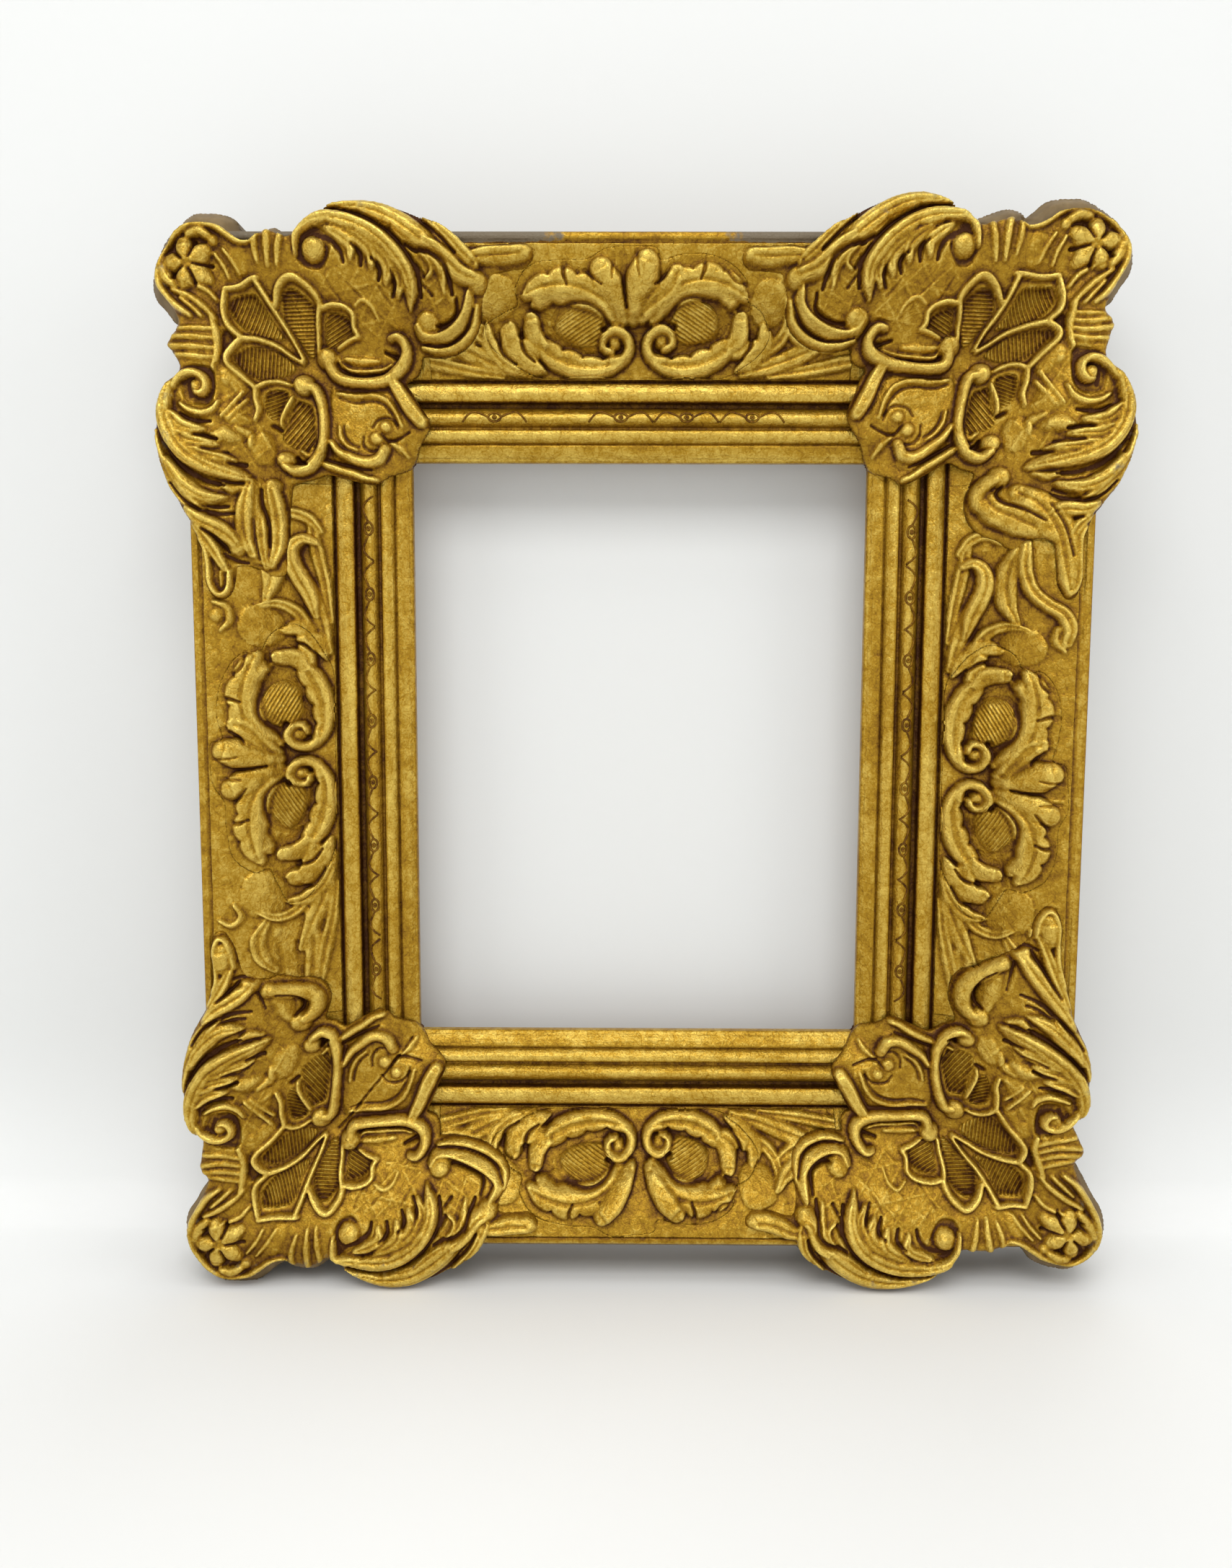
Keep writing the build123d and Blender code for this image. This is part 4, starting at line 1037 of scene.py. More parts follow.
castingOutline = [
    (-28, 76.8), (-24.5, 79.3), (-20, 82.6), (-15, 85.4), (-10, 88), (-5, 90), (0, 91.6), (5, 92.8), (10, 93.4),
    (16, 93.4), (22, 92.8), (28, 90.6), (32, 88), (36, 83.6), (39.5, 81), (42, 80.2), (46.5, 82), (50, 82),
    (53.4, 80.4), (55.8, 78.2), (59, 78.4), (63, 81), (67, 83.6), (73.6, 84.8), (79.4, 84), (84.6, 80.2), (88.6, 75),
    (91.2, 70.4), (92.6, 65.5), (92.2, 61), (90, 57.6), (87, 53.8), (84.4, 50), (84, 47.6), (86.6, 44.2), (89.4, 40),
    (87.2, 36.4), (84.3, 32.8), (84, 31), (85.6, 28.6), (89.4, 24.6), (92.6, 18.8), (94.4, 12), (95, 5), (94.2, 0),
    (93.2, -5), (91.6, -10), (89.6, -16), (86, -21.5), (81.5, -28), (79.8, -33), (77.6, -38), (76.8, -45),
    (76.8, -51), (74.6, -56.6), (71, -58.2), (67.5, -55), (66.2, -49), (65.5, -45), (61, -44.6), (57, -46.5),
    (53, -48.8), (49.2, -46.8), (48.4, -40), (47.8, -31), (47.2, -21), (46.4, -12.5), (43.5, -10), (38.5, -8.6),
    (33, -6.5), (28, -7.6), (22, -9), (16.5, -10.2), (12.5, -9.8), (8.5, -7), (4.5, -5.2), (0.5, -3.4), (-2.2, 0.5),
    (-4, 5), (-7, 9.5), (-8.8, 13), (-8.4, 16.4), (-5, 21.5), (-2, 26.5), (0.3, 30), (-2.2, 31.4), (-5, 34),
    (-6.4, 37.5), (-7.4, 40.2), (-13, 39.8), (-20, 40.8), (-25.5, 43.6), (-29.5, 48), (-31.8, 53), (-32.6, 58.5),
    (-35, 62.6), (-37, 67), (-44, 68.8), (-50, 69.6), (-53.2, 73), (-52.4, 76.6), (-49, 78), (-42, 77.6), (-34, 77.2),
]


# The C scroll at three of the corners stands out over the rail's inner side
def castingRing(corner):
    if corner == "top_left":
        return castingOutline
    first = castingOutline.index((49.2, -46.8))
    last = castingOutline.index((43.5, -10))
    scrollSide = [(48, -44.6), (44, -41), (41, -35), (39.8, -27.6), (40.4, -20), (43, -13)]
    return castingOutline[:first] + scrollSide + castingOutline[last:]


# Ground: cells (outline, outer spot and level, inner spot and level, edge, tooling), pillows, lattices and strokes.
# A stroke is a rod (run, widths, height, foot, and a profile where it isn't round) or a leaf (run, widths, height,
# foot, veins, scallops, side). A groove is a run, widths and a depth.
cornerGround = {
    "grooves": [
        ([(78.8, 71.6), (77.6, 74.4), (76.6, 77.6)], [0.8, 1.4, 1.8], 2.6),
        ([(77.2, 69.6), (74, 69.4), (71, 69.6)], [0.8, 1.4, 1.8], 2.6),
        ([(78.8, 67.6), (77.4, 65), (76.8, 61.6)], [0.8, 1.4, 1.8], 2.6),
        ([(81, 68), (83, 66.4), (85, 64.4)], [0.8, 1.4, 1.8], 2.6),
        ([(81, 71), (83.2, 73), (84.6, 75.6)], [0.8, 1.4, 1.8], 2.6),
    ],
    "cells": [
        ([(87, 60), (89, 66), (88, 73), (84, 79), (78, 82.3), (72, 82), (66, 79), (62, 75), (64, 70), (68, 64),
         (74, 59), (80, 57)], ((86, 78), -0.2), ((66, 62), 1.6), 1.8),
        ([(84, 46), (88, 40), (85, 34), (76, 33), (70, 35), (70, 46), (76, 48)], ((88, 40), 1.0), ((70, 40), 1.6),
         1.2),
        ([(55, 80), (49, 84), (42, 81), (43, 71), (54, 70)], ((49, 84), 1.0), ((48, 70), 1.4), 1.2),
        ([(68, 47), (64.5, 44), (66, 40), (68.5, 37), (69.5, 42)], ((68, 42), -0.6), ((66, 42), -0.6), 1.0),
        ([(64.8, 58.5), (57, 61), (54, 57.5), (51, 52), (47, 45.5), (52, 44.8), (58, 45.5), (62.8, 49), (65.3, 53)],
         ((62, 58), -0.4), ((47, 44), 2.6), 1.0, (20, 1.35)),
        ([(46, 60.5), (42, 63), (37, 60.5), (33.4, 56), (34.8, 48), (35.8, 40), (38.5, 39.5), (42, 45), (46.5, 53)],
         ((40, 62), -0.6), ((37, 40), 2.6), 1.0, (88, 1.35)),
        ([(30, 53.5), (25, 55), (20.6, 52.5), (20, 48), (24, 45.6), (28, 43), (31.5, 42)], ((21, 54), -0.6),
         ((31, 43), 2.2), 1.0, (60, 1.3)),
        ([(59.5, 41.2), (52, 41), (46, 38.2), (43.5, 34.5), (47.5, 31), (54, 28.8), (59, 29.5), (63.8, 33.5),
         (64.6, 37)], ((64, 35), -0.4), ((43, 36), 2.6), 1.0, (5, 1.3)),
        ([(54.5, 24), (50, 26), (46.5, 24.8), (48, 19.5), (50, 14), (53, 14), (55, 18)], ((50, 25), -0.6), ((51, 14),
         1.4), 1.0, (60, 1.3)),
        ([(44.5, 22), (41, 22), (38, 20), (37, 12), (37, 4), (40, 2), (45, 3), (49, 6), (48.5, 11), (47, 14)],
         ((42, 22), -0.4), ((42, 4), 1.0), 1.0, (35, 1.6)),
        ([(29, 33), (26.5, 27), (8, 27.5), (3, 21), (-1, 15), (1, 11), (6, 8.5), (9, 4), (9, -3), (15, -6), (24, -4),
         (31, 0), (32, 8), (32, 20), (31, 28)], ((32, 32), 2.2), ((0, 0), 2.0), 2.0),
        ([(26, 42), (8, 42.5), (4, 41), (6, 36.5), (15, 34.5), (24, 35)], ((26, 40), 1.4), ((5, 40), 1.4), 1.2),
        ([(24, 78), (30, 83), (38, 81), (40, 75), (36, 69.5), (28, 69)], ((34, 80), -1.4), ((28, 70), 0.2), 2.2),
    ],
    "mounds": [
        ([(67, 26), (70, 30), (66, 32.5), (61, 28), (60, 24), (64, 22.5)], 1.6, 1.0, 4.0),
        ([(71, 16), (66, 20), (61, 17), (60, 11), (64, 9.5), (69, 12)], 1.4, 1.0, 4.0),
        ([(57, 8), (53, 8), (51, 2), (53, -4), (58, -4), (60, 2)], 1.8, 0.9, 3.5),
        ([(64, 74), (59, 77), (57, 72), (58, 67), (62, 66)], 1.2, 0.9, 3.0),
    ],
    "lattices": [
        ([(31, 68), (22, 71), (12, 69), (3, 64), (-3, 59), (-3, 52), (3, 48.5), (10, 46), (17, 48), (20, 56),
         (27, 58.5), (31, 62)], [(38, 8.5, 3), (-48, 7.5, 2), (80, 12, 5)]),
        ([(75, 20), (69, 27), (62, 24), (57, 14), (52, 8), (52, -2), (58, -7), (66, -3), (74, 6)], [(45, 7.5, 2),
         (-28, 8.5, 3)]),
        ([(-10, 70), (-16, 66), (-20, 60), (-22, 54), (-12, 53), (-6, 56), (-7, 64)], [(60, 6, 1), (-20, 9, 4)]),
    ],
    "strokes": [
        ("rod", [(79, 50.5), (83.5, 53.5), (87.5, 57), (90.3, 61), (91.2, 66), (90, 72), (87, 77.5), (82.6, 82),
         (78, 84.6), (73, 85), (68, 83.6), (64, 80.8), (60.5, 78.6), (57, 78), (54.5, 79.5)], [2.5, 3.5, 4, 4.2, 4.2,
         4.2, 4, 3.6, 2.4], 3.8, 0.6),
        ("rod", [(85.5, 60), (79, 57.5), (73.5, 53.5), (70.5, 50)], [2, 3, 3, 2], 2.4, 1.0),
        ("rod", [(82.5, 57), (78, 53.5), (75, 50.5)], [1.5, 2.4, 2], 2.2, 1.0),
        ("rod", [(79, 62.5), (73, 60.5), (69.5, 57)], [1.5, 2.6, 2], 2.2, 1.0),
        ("rod", [(66, 75.5), (63, 71.5), (61, 67.5)], [1.5, 2.2, 1.5], 2.0, 1.0),
        ("rod", [(69.5, 74), (66.5, 69.5), (65, 65.5)], [1.5, 2.2, 1.5], 2.0, 1.0),
        ("rod", [(79.2, 70.6), (80, 73.8), (80.4, 76.6)], [5, 8.4, 6.2], 4.2, 0.6),
        ("rod", [(78, 70.4), (75.4, 72.8), (73, 74.6)], [5, 8, 5.8], 4.0, 0.6),
        ("rod", [(77.6, 68.6), (74.8, 66.2), (72.6, 64.6)], [5, 7.8, 5.4], 4.0, 0.6),
        ("rod", [(79.6, 67.8), (80.3, 65), (80.8, 62.6)], [5, 8, 5.8], 4.0, 0.6),
        ("rod", [(81, 69.4), (84, 70), (86.6, 69.6)], [5, 7.8, 5.8], 4.0, 0.6),
        ("rod", [(79, 69.5)], [4.2], 4.0, 0.6),
        ("rod", [(78.6, 80.6), (74.5, 81.6), (70.6, 79.4)], [3.4, 4.8, 3.4], 3.4, 0.8),
        ("rod", [(69.6, 78.4)], [4.6], 3.2, 0.8),
        ("rod", [(89.4, 68.5), (87.6, 64.5), (84.2, 61.5)], [4, 5.4, 3.4], 3.4, 0.8),
        ("rod", [(46, 70), (45, 76), (43.6, 81)], [1.8, 3.2, 2.6], 2.0, 1.0),
        ("rod", [(49.6, 70), (49.2, 77), (48.8, 83.4)], [1.8, 3.4, 3.0], 2.2, 1.0),
        ("rod", [(53.4, 71), (54, 76.5), (53.2, 81.4)], [1.8, 3.0, 2.4], 2.0, 1.0),
        ("rod", [(71, 46.4), (77, 46), (83.4, 45.6)], [1.6, 2.6, 2.2], 1.7, 1.0),
        ("rod", [(71, 42.6), (78, 42.6), (86.5, 42.6)], [1.6, 3.0, 2.6], 1.8, 1.0),
        ("rod", [(71, 39), (78, 39), (88, 39)], [1.6, 3.0, 2.6], 1.8, 1.0),
        ("rod", [(71, 35.6), (77, 35.4), (85, 35.8)], [1.6, 2.8, 2.2], 1.7, 1.0),
        ("rod", [(72, 52), (70.4, 45), (70.2, 37), (72, 31)], [2.2, 3, 3, 2], 2.2, 0.9),
        ("rod", [(71.5, 5.5), (68, 6.2), (64.6, 5.5)], [7, 9.6, 7], 3.2, 0.8, "soft"),
        ("rod", [(64.5, 9.4), (60, 6.8), (59.6, 2.5)], [2.4, 4, 3], 2.4, 0.8),
        ("rod", [(69.5, 13), (65.5, 18), (61.4, 23.6)], [1.6, 2.2, 1.6], 2.4, 1.0),
        ("rod", [(67.2, 12.4), (63.4, 17), (60.4, 20.6)], [1.4, 2, 1.4], 2.2, 1.0),
        ("rod", [(67.5, 27.5)], [6], 2.4, 0.9, "soft"),
        ("rod", [(64, 14.5), (60.4, 12.6)], [4, 4], 2.0, 0.9, "soft"),
    ],
}

# Leaves of the top and side, each with a volute
cornerLeaves = {
    "cells": [
        ([(24, 79), (29, 84), (37, 82), (40, 76), (36, 69.5), (28, 69)], ((34, 80), -1.6), ((28, 70), 0.0), 2.2),
        ([(71, 30), (75, 33), (83, 31), (84, 24), (82, 18), (75, 16.5), (71.5, 20)], ((78, 30), -1.4), ((77, 18),
         -1.0), 2.0),
    ],
    "strokes": [
        # top: volute ball, outer leaf, tip, inner leaf
        ("rod", [(31.5, 75.6)], [9.4], 5.0, -0.4),
        ("rod", [(38.4, 74), (37.6, 80), (34.4, 83.8), (30.5, 86)], [1.6, 3, 3.4, 3.4], 4.0, 0.6),
        ("leaf", [(-27, 72.6), (-35, 73.3), (-43, 73.4), (-50.4, 74.2)], [4, 7, 7.6, 6.4], 3.4, 0.4, 2),
        ("rod", [(-50, 74.6)], [6], 4.4, 0.4),
        ("leaf", [(-11, 88), (-16, 84), (-21, 79.4), (-25.6, 74.5), (-30, 70.4)], [3, 6, 7, 7, 5], 4.4, 0.6, 2),
        ("leaf", [(27, 90.6), (16, 90.8), (7, 88.9), (0, 85.7), (-6.5, 81.3), (-12.5, 76.4), (-16.5, 71),
         (-18, 65.5)], [2, 5, 7, 8.6, 9.4, 9.4, 8, 3], 4.0, 0.5, 3, 4, 1),
        ("leaf", [(-10, 79), (-15.5, 75.5), (-20.5, 71), (-25, 67), (-31, 64.8)], [3, 6, 7.4, 7, 6], 4.8, 0.7, 2),
        ("rod", [(-31, 64.5)], [8.6], 5.0, 0.8),
        ("leaf", [(26, 83), (20.5, 80), (17, 76.6), (17.4, 72.4)], [2, 5, 5, 2], 3.0, 0.7, 2),
        ("leaf", [(18, 82), (12.6, 78.2), (9.2, 74.2), (9.8, 69.4)], [2, 5.4, 6, 2.2], 3.2, 0.7, 2),
        ("leaf", [(11.5, 79), (6, 74), (3, 69.4), (4.6, 64.4)], [2, 5.4, 6.4, 2.2], 3.4, 0.7, 2),
        ("leaf", [(5, 75), (0.4, 70), (-1.4, 64.6), (0.4, 60)], [2, 4.6, 5, 2], 3.4, 0.7, 1),
        ("leaf", [(36, 82), (31.5, 85.4), (25.5, 86.4), (18, 85.2), (11, 82.4), (5, 78.4), (0, 73.4), (-3.6, 67.5),
         (-5, 61.5), (-4, 56)], [3, 4.6, 6.6, 8, 8.6, 8.6, 8.2, 7.4, 6, 2], 4.8, 0.8, 3, 5, 1),
        ("rod", [(-9, 75), (-12.5, 72), (-13.8, 68.5), (-11.5, 66)], [1.4, 2.2, 2.2, 1.4], 3.2, 0.2),
        ("rod", [(-15.4, 71), (-17.4, 66), (-18, 61)], [1.5, 3.4, 1.8], 2.8, 0.2),
        # C scroll below the top leaf
        ("rod", [(-7.5, 43), (-13, 41.8), (-19, 42.3), (-25, 45.5), (-29, 50.5), (-30.6, 57)], [2, 3.4, 3.8, 3.8, 3.6,
         2.4], 3.4, 0.6),
        ("rod", [(-6, 50), (-8, 46.7), (-13, 45.6), (-19, 47.3), (-24, 51), (-27, 55.5), (-28, 61)], [3, 4.4, 5.2,
         5.6, 5.6, 5.4, 3], 4.8, 0.8, "leaf"),
        ("rod", [(-10.4, 51)], [9.6], 5.0, 0.8),
        # side: volute, leaf, its lower leaves and foot
        ("rod", [(86.4, 23), (84.6, 26.5), (81, 28.8), (77.4, 28.8), (74.6, 26.6), (74.2, 23.6), (76, 21.4),
         (78.2, 21.8)], [2, 3.2, 3.8, 3.8, 3.6, 3.4, 3.2, 2], 4.4, 0.4),
        ("rod", [(77.4, 24)], [6], 3.2, 0.4),
        ("rod", [(84, 17.5), (80.5, 15), (76, 14), (72, 15.8), (70, 19)], [1.5, 2.8, 3.2, 2.8, 1.6], 3.2, 0.6),
        ("leaf", [(94, 7), (93, -1), (90, -8.6), (85.6, -15), (81, -20.5), (77, -25)], [2, 4, 6, 7, 6.4, 4], 3.6, 0.4,
         2),
        ("leaf", [(90, -4), (86.5, -10.5), (81.5, -15.5), (76, -18.6), (69, -18.6)], [3, 6.4, 7.6, 6.6, 3], 4.2, 0.6,
         3, 3, 1),
        ("leaf", [(88.5, 14.5), (84, 9.4), (80, 7.6), (75.6, 7.6)], [2, 6, 6, 2.4], 3.8, 0.8, 2),
        ("leaf", [(86, 7), (81, 3.6), (76.6, 2.6), (71.6, 2)], [2, 6, 6, 2.4], 4.0, 0.8, 2),
        ("leaf", [(82, 0.4), (76, -1.6), (71, -2.7), (65.6, -4)], [2, 5.6, 6, 2.6], 4.2, 0.8, 2),
        ("leaf", [(86.6, 27.5), (89.4, 20), (89.5, 12.5), (87, 5.4), (82.5, -0.6), (76.5, -4.6), (70, -7.4),
         (61, -9.8)], [3, 6, 7.6, 8.6, 9, 8.4, 7, 4.6], 4.9, 0.8, 3, 4, -1),
        ("rod", [(70, -13.2), (66, -14.8), (62, -13.4)], [2, 4.4, 2], 3.0, 0.8),
        ("leaf", [(82.5, -23), (77.5, -27.4), (72, -30.2), (67.6, -33.4), (64.6, -37.4)], [3, 6, 7.4, 7.4, 5], 4.6,
         0.7, 2),
        ("rod", [(64.8, -37.2)], [7.6], 4.4, 0.7),
        ("leaf", [(80, -28.5), (76, -34), (72.6, -40), (69.6, -46)], [3, 5, 5, 3], 4.0, 0.6, 1),
        ("rod", [(78.2, -34), (76, -39), (75.2, -45), (75, -51), (73, -55.4), (70.4, -56), (68.4, -53), (68, -47)],
         [2.2, 2.4, 2.4, 2.4, 2.6, 2.6, 2.4, 2.2], 3.8, 0.6),
        ("rod", [(71.2, -47), (71, -53)], [2.6, 2], 2.2, 0.4, "soft"),
    ],
    "grooves": [
        ([(28, 90), (20, 89.2), (14, 87.6), (8, 85), (3, 81.8), (-1.4, 77.8), (-5.4, 73), (-8.2, 67.5), (-8.6, 60)],
         [1, 1.8, 2.2, 2.4, 2.6, 2.6, 2.4, 2.0, 1.2], 3.4),
        ([(-1, 91), (-8, 87.4), (-14, 83), (-19, 78.6), (-23.4, 74)], [0.9, 1.5, 1.8, 1.8, 1.2], 3.0),
        ([(-4, 77.5), (-8, 75.5), (-13, 74.6), (-18, 71.5), (-20, 67), (-21, 61)], [1.6, 2.6, 3, 3.2, 2.8, 1.6], 3.0),
        ([(-7.8, 70.6), (-10, 67)], [2, 2.6], 2.4),
        ([(-9.8, 64), (-13, 60.8)], [1.4, 2], 1.8),
        ([(29.4, 80.4), (25, 79.2), (21.4, 75.6), (20.4, 71.6)], [2.4, 3, 2.6, 1.4], 3.0),
        ([(16.4, 77.4), (13.6, 74.4), (13.8, 70.4)], [1.4, 2.6, 1.6], 2.8),
        ([(9, 72.6), (6.6, 69.6), (7.4, 65.4)], [1.2, 2.4, 1.4], 2.8),
        ([(2, 68.4), (1, 64), (2.6, 60)], [1, 2, 1.2], 2.4),
        ([(-8, 44.3), (-14, 43.7), (-20, 45), (-25.6, 49.5), (-29, 56)], [0.9, 1.5, 1.6, 1.6, 1], 2.6),
        ([(-14, 50.4), (-18, 51.3), (-22, 54.5), (-22.5, 60)], [1.6, 2.6, 2.4, 1.4], 2.2),
        ([(80.6, 26.6), (80.4, 24), (79.8, 20.5)], [1.4, 2.4, 2.6], 2.6),
        ([(84.5, 13.6), (81, 11.6), (77, 11), (73.5, 11.2)], [1, 2.2, 2.6, 1.2], 3.0),
        ([(78.6, 5.4), (74.6, 5), (71, 4.4)], [1.4, 2.4, 1.6], 3.0),
        ([(76, 0.4), (72, -0.4), (67.6, -1)], [1.2, 2.2, 1.4], 2.6),
        ([(67, -4.6), (62, -5)], [1.6, 2.6], 2.4),
        ([(90.4, 2), (86.8, -3.4), (82.4, -7.8), (76, -11.6), (69, -13.4)], [1.2, 2.4, 3, 3, 1.6], 3.4),
        ([(88.6, -13), (84.4, -18.6), (79, -22.6), (72, -24.4), (66, -24)], [1.2, 2, 2.4, 2.4, 1.4], 3.0),
        ([(75, -21.6), (71.5, -22), (68, -21.4)], [1.4, 2, 1.4], 2.0),
        ([(77, -30.6), (71.6, -34.6), (68, -39.6)], [1.2, 2, 1.4], 2.4),
        ([(69.6, -40.4), (66, -42.6), (62, -43.4)], [1.5, 2.6, 1.6], 2.4),
    ],
}

# Shell rims and the cartouche with its C scrolls
cornerScrolls = {
    "strokes": [
        ("rod", [(61.5, 43.8), (56, 44), (50, 42.5), (45, 39.2), (41, 37)], [2.7, 2.6, 2.4, 1.9, 1.6], 3.2, 1.4),
        ("rod", [(61.5, 43.8), (66, 48.3), (67.4, 54), (66.8, 60.5)], [2.6, 2.7, 2.6, 2.4], 3.2, 1.2),
        ("rod", [(66.8, 61.5), (61.5, 62.8), (57, 65.2), (54.4, 66)], [2.4, 2.4, 2.4, 2.4], 3.2, 1.2),
        ("rod", [(55.5, 65.5), (51.2, 58), (47.2, 51), (43.5, 44.5), (40.5, 38)], [2.6, 2.4, 2.2, 1.9, 1.6], 3.2,
         1.4),
        ("rod", [(49, 56.5), (47.2, 62), (43.8, 65.6), (40, 66.2), (36, 63.8), (32.8, 60.6), (31.2, 57)], [2.2, 3,
         3.2, 3.2, 3.2, 3.2, 3], 3.2, 1.2),
        ("rod", [(31.3, 57.5), (33, 52), (33.8, 46), (34.6, 40.5)], [2.4, 2.2, 2.1, 1.6], 3.0, 1.4),
        ("rod", [(31.5, 55.8), (27, 57.2), (21.8, 56.6), (19, 54), (19.2, 49.8), (17.6, 46.8)], [2.1, 2.4, 2.4, 2.4,
         2.4, 2.1], 3.0, 1.2),
        ("rod", [(17.6, 46.8), (22, 45.2), (26.5, 42.6)], [2.1, 1.9, 1.6], 2.6, 1.2),
        ("rod", [(61.5, 43.8), (64.4, 40.5), (66.8, 36.5), (66.2, 33), (62, 29.3), (57.5, 25.3)], [2.7, 2.7, 2.7, 2.7,
         2.6, 2.4], 3.2, 1.2),
        ("rod", [(57.5, 25.3), (54, 27.8), (49.5, 28.8), (45.5, 28)], [2.4, 2.2, 2.1, 1.6], 2.8, 1.2),
        ("rod", [(57.5, 25.3), (57.6, 21), (56.8, 17), (58, 13)], [2.4, 2.4, 2.4, 1.6], 3.0, 1.0),
        ("rod", [(45, 23.6), (47.2, 19), (48.8, 15), (49.2, 11.5)], [1.4, 1.9, 1.9, 1.4], 2.6, 1.0),
        ("rod", [(18, 57), (14.5, 59), (11, 56.5), (9, 52)], [1.4, 1.8, 1.8, 1.2], 1.6, 0.9),
        ("rod", [(27, 40), (25.5, 36.4), (22, 34.6), (16, 34.3), (9, 35), (5.2, 37)], [1.4, 1.8, 2, 2, 2, 1.4], 2.0,
         1.4),
        ("rod", [(24.5, 38.8), (18, 38), (11, 38)], [3, 5.4, 3], 2.0, 1.2, "soft"),
        ("rod", [(41, 27.5), (37, 27.3), (34.8, 23.5), (33.6, 18), (33.4, 11), (34, 5), (36.3, -0.5), (40, -4.5),
         (44.5, -5.8), (48, -4.2)], [4.6, 4.6, 4.4, 4.2, 4.2, 4.4, 4.8, 5.2, 4.8, 3.6], 5.0, 1.8),
        ("rod", [(40.6, 28.3)], [8.4], 5.4, 1.6),
        ("rod", [(47.8, -1.8)], [7], 4.8, 1.2),
        ("rod", [(42.5, 2.5), (39.5, 0.5), (38, 4)], [1.6, 2.6, 1.6], 2.2, 0.8),
        ("rod", [(6, 31.5), (2.5, 26), (-1, 20.5), (-4, 16.6), (-5.6, 14.8)], [4.6, 5.6, 6, 6.4, 5.6], 4.4, 1.6,
         "flat"),
        ("rod", [(31, 39), (29.8, 35), (27, 31.8), (22, 30.2), (15, 29.7), (8, 30.7), (4, 33.2), (0.8, 36.5),
         (-1, 40.5), (-0.5, 44), (1.8, 46.3), (5, 46)], [5, 5, 4.8, 4.4, 4.4, 4.8, 5.2, 5.6, 5.4, 4.6, 4, 2.6], 5.0,
         1.8),
        ("rod", [(31.3, 38.8)], [8.4], 5.6, 1.6),
        ("rod", [(34, -2.5), (28, -4.6), (22, -6.2), (17, -8), (13, -8.6)], [3, 3.4, 3.4, 3.2, 2.6], 2.8, 1.2),
        ("rod", [(31, 6.6), (28, 2.6), (24, 0.6), (17.6, -1.6), (12, -0.4), (9.4, 3.8)], [2.4, 3.6, 4.4, 5, 5.2, 4.6],
         4.4, 1.4),
        ("rod", [(12.6, 8)], [6], 3.8, 1.6),
        ("rod", [(8.8, 12.6)], [5.2], 3.4, 1.6),
        ("rod", [(28, 25.8), (20, 24.6), (13, 25), (8, 23), (4.6, 18.5), (2.2, 13)], [1.4, 2, 2.2, 2.2, 2, 1.4], 1.2,
         2.2),
        ("rod", [(27.5, 13), (27, 8.5), (24.5, 5), (20.5, 3.2)], [1.4, 2, 2, 1.4], 1.2, 2.2),
        ("rod", [(7, 6.5), (3, 4), (0.5, 1.2)], [2, 4.6, 2.4], 2.0, 1.0, "soft"),
    ],
    "grooves": [
        ([(26, 37), (22.5, 33.3), (15, 32.6), (9, 33.2)], [0.9, 1.4, 1.4, 1], 1.4),
        ([(7.6, 41.6), (3.2, 39.8)], [1.8, 2.8], 2.4),
        ([(44, -0.5), (43, -2.4), (40, -3)], [1.6, 3.2, 1.4], 3.2),
        ([(33, -0.6), (27, -2.2), (20, -3.7), (15, -4.6)], [1.2, 1.8, 1.8, 1.2], 1.5),
        ([(27.5, 24), (21, 22.3), (14, 22.8), (9.5, 21.5), (6, 17.5), (3.8, 12)], [0.9, 1.4, 1.5, 1.5, 1.4, 0.9],
         1.4),
        ([(25.8, 13), (25.3, 9), (23, 6), (19.5, 4.5)], [0.9, 1.3, 1.3, 0.9], 1.2),
        ([(17.8, 9), (18, 5.5), (15.5, 3.2), (12, 3.4)], [1, 1.5, 1.5, 1], 1.5),
        ([(14.4, 12.4), (11.8, 15.6), (7, 16.2), (4, 13.6)], [1, 1.5, 1.5, 1], 1.6),
        ([(11, 9.8), (7.5, 7.2), (3, 8.8), (-0.5, 10.8)], [1.2, 1.9, 1.8, 1.2], 1.8),
        ([(28, 66), (25, 61.5), (22, 57.5)], [0.8, 1.2, 0.8], 0.8),
        ([(20, 65), (17.4, 62.4), (15, 60)], [0.8, 1.2, 0.8], 0.8),
        ([(8.5, 65), (6, 61), (3, 57)], [0.8, 1.3, 0.8], 0.9),
        ([(46.8, 59), (49.2, 54), (45.4, 47.5)], [0.7, 1.0, 0.7], 0.6),
        ([(52, 11.4), (49.6, 10)], [2.6, 2.4], 2.2),
        ([(62, 4), (58, 9)], [1, 1], 0.9),
    ],
}

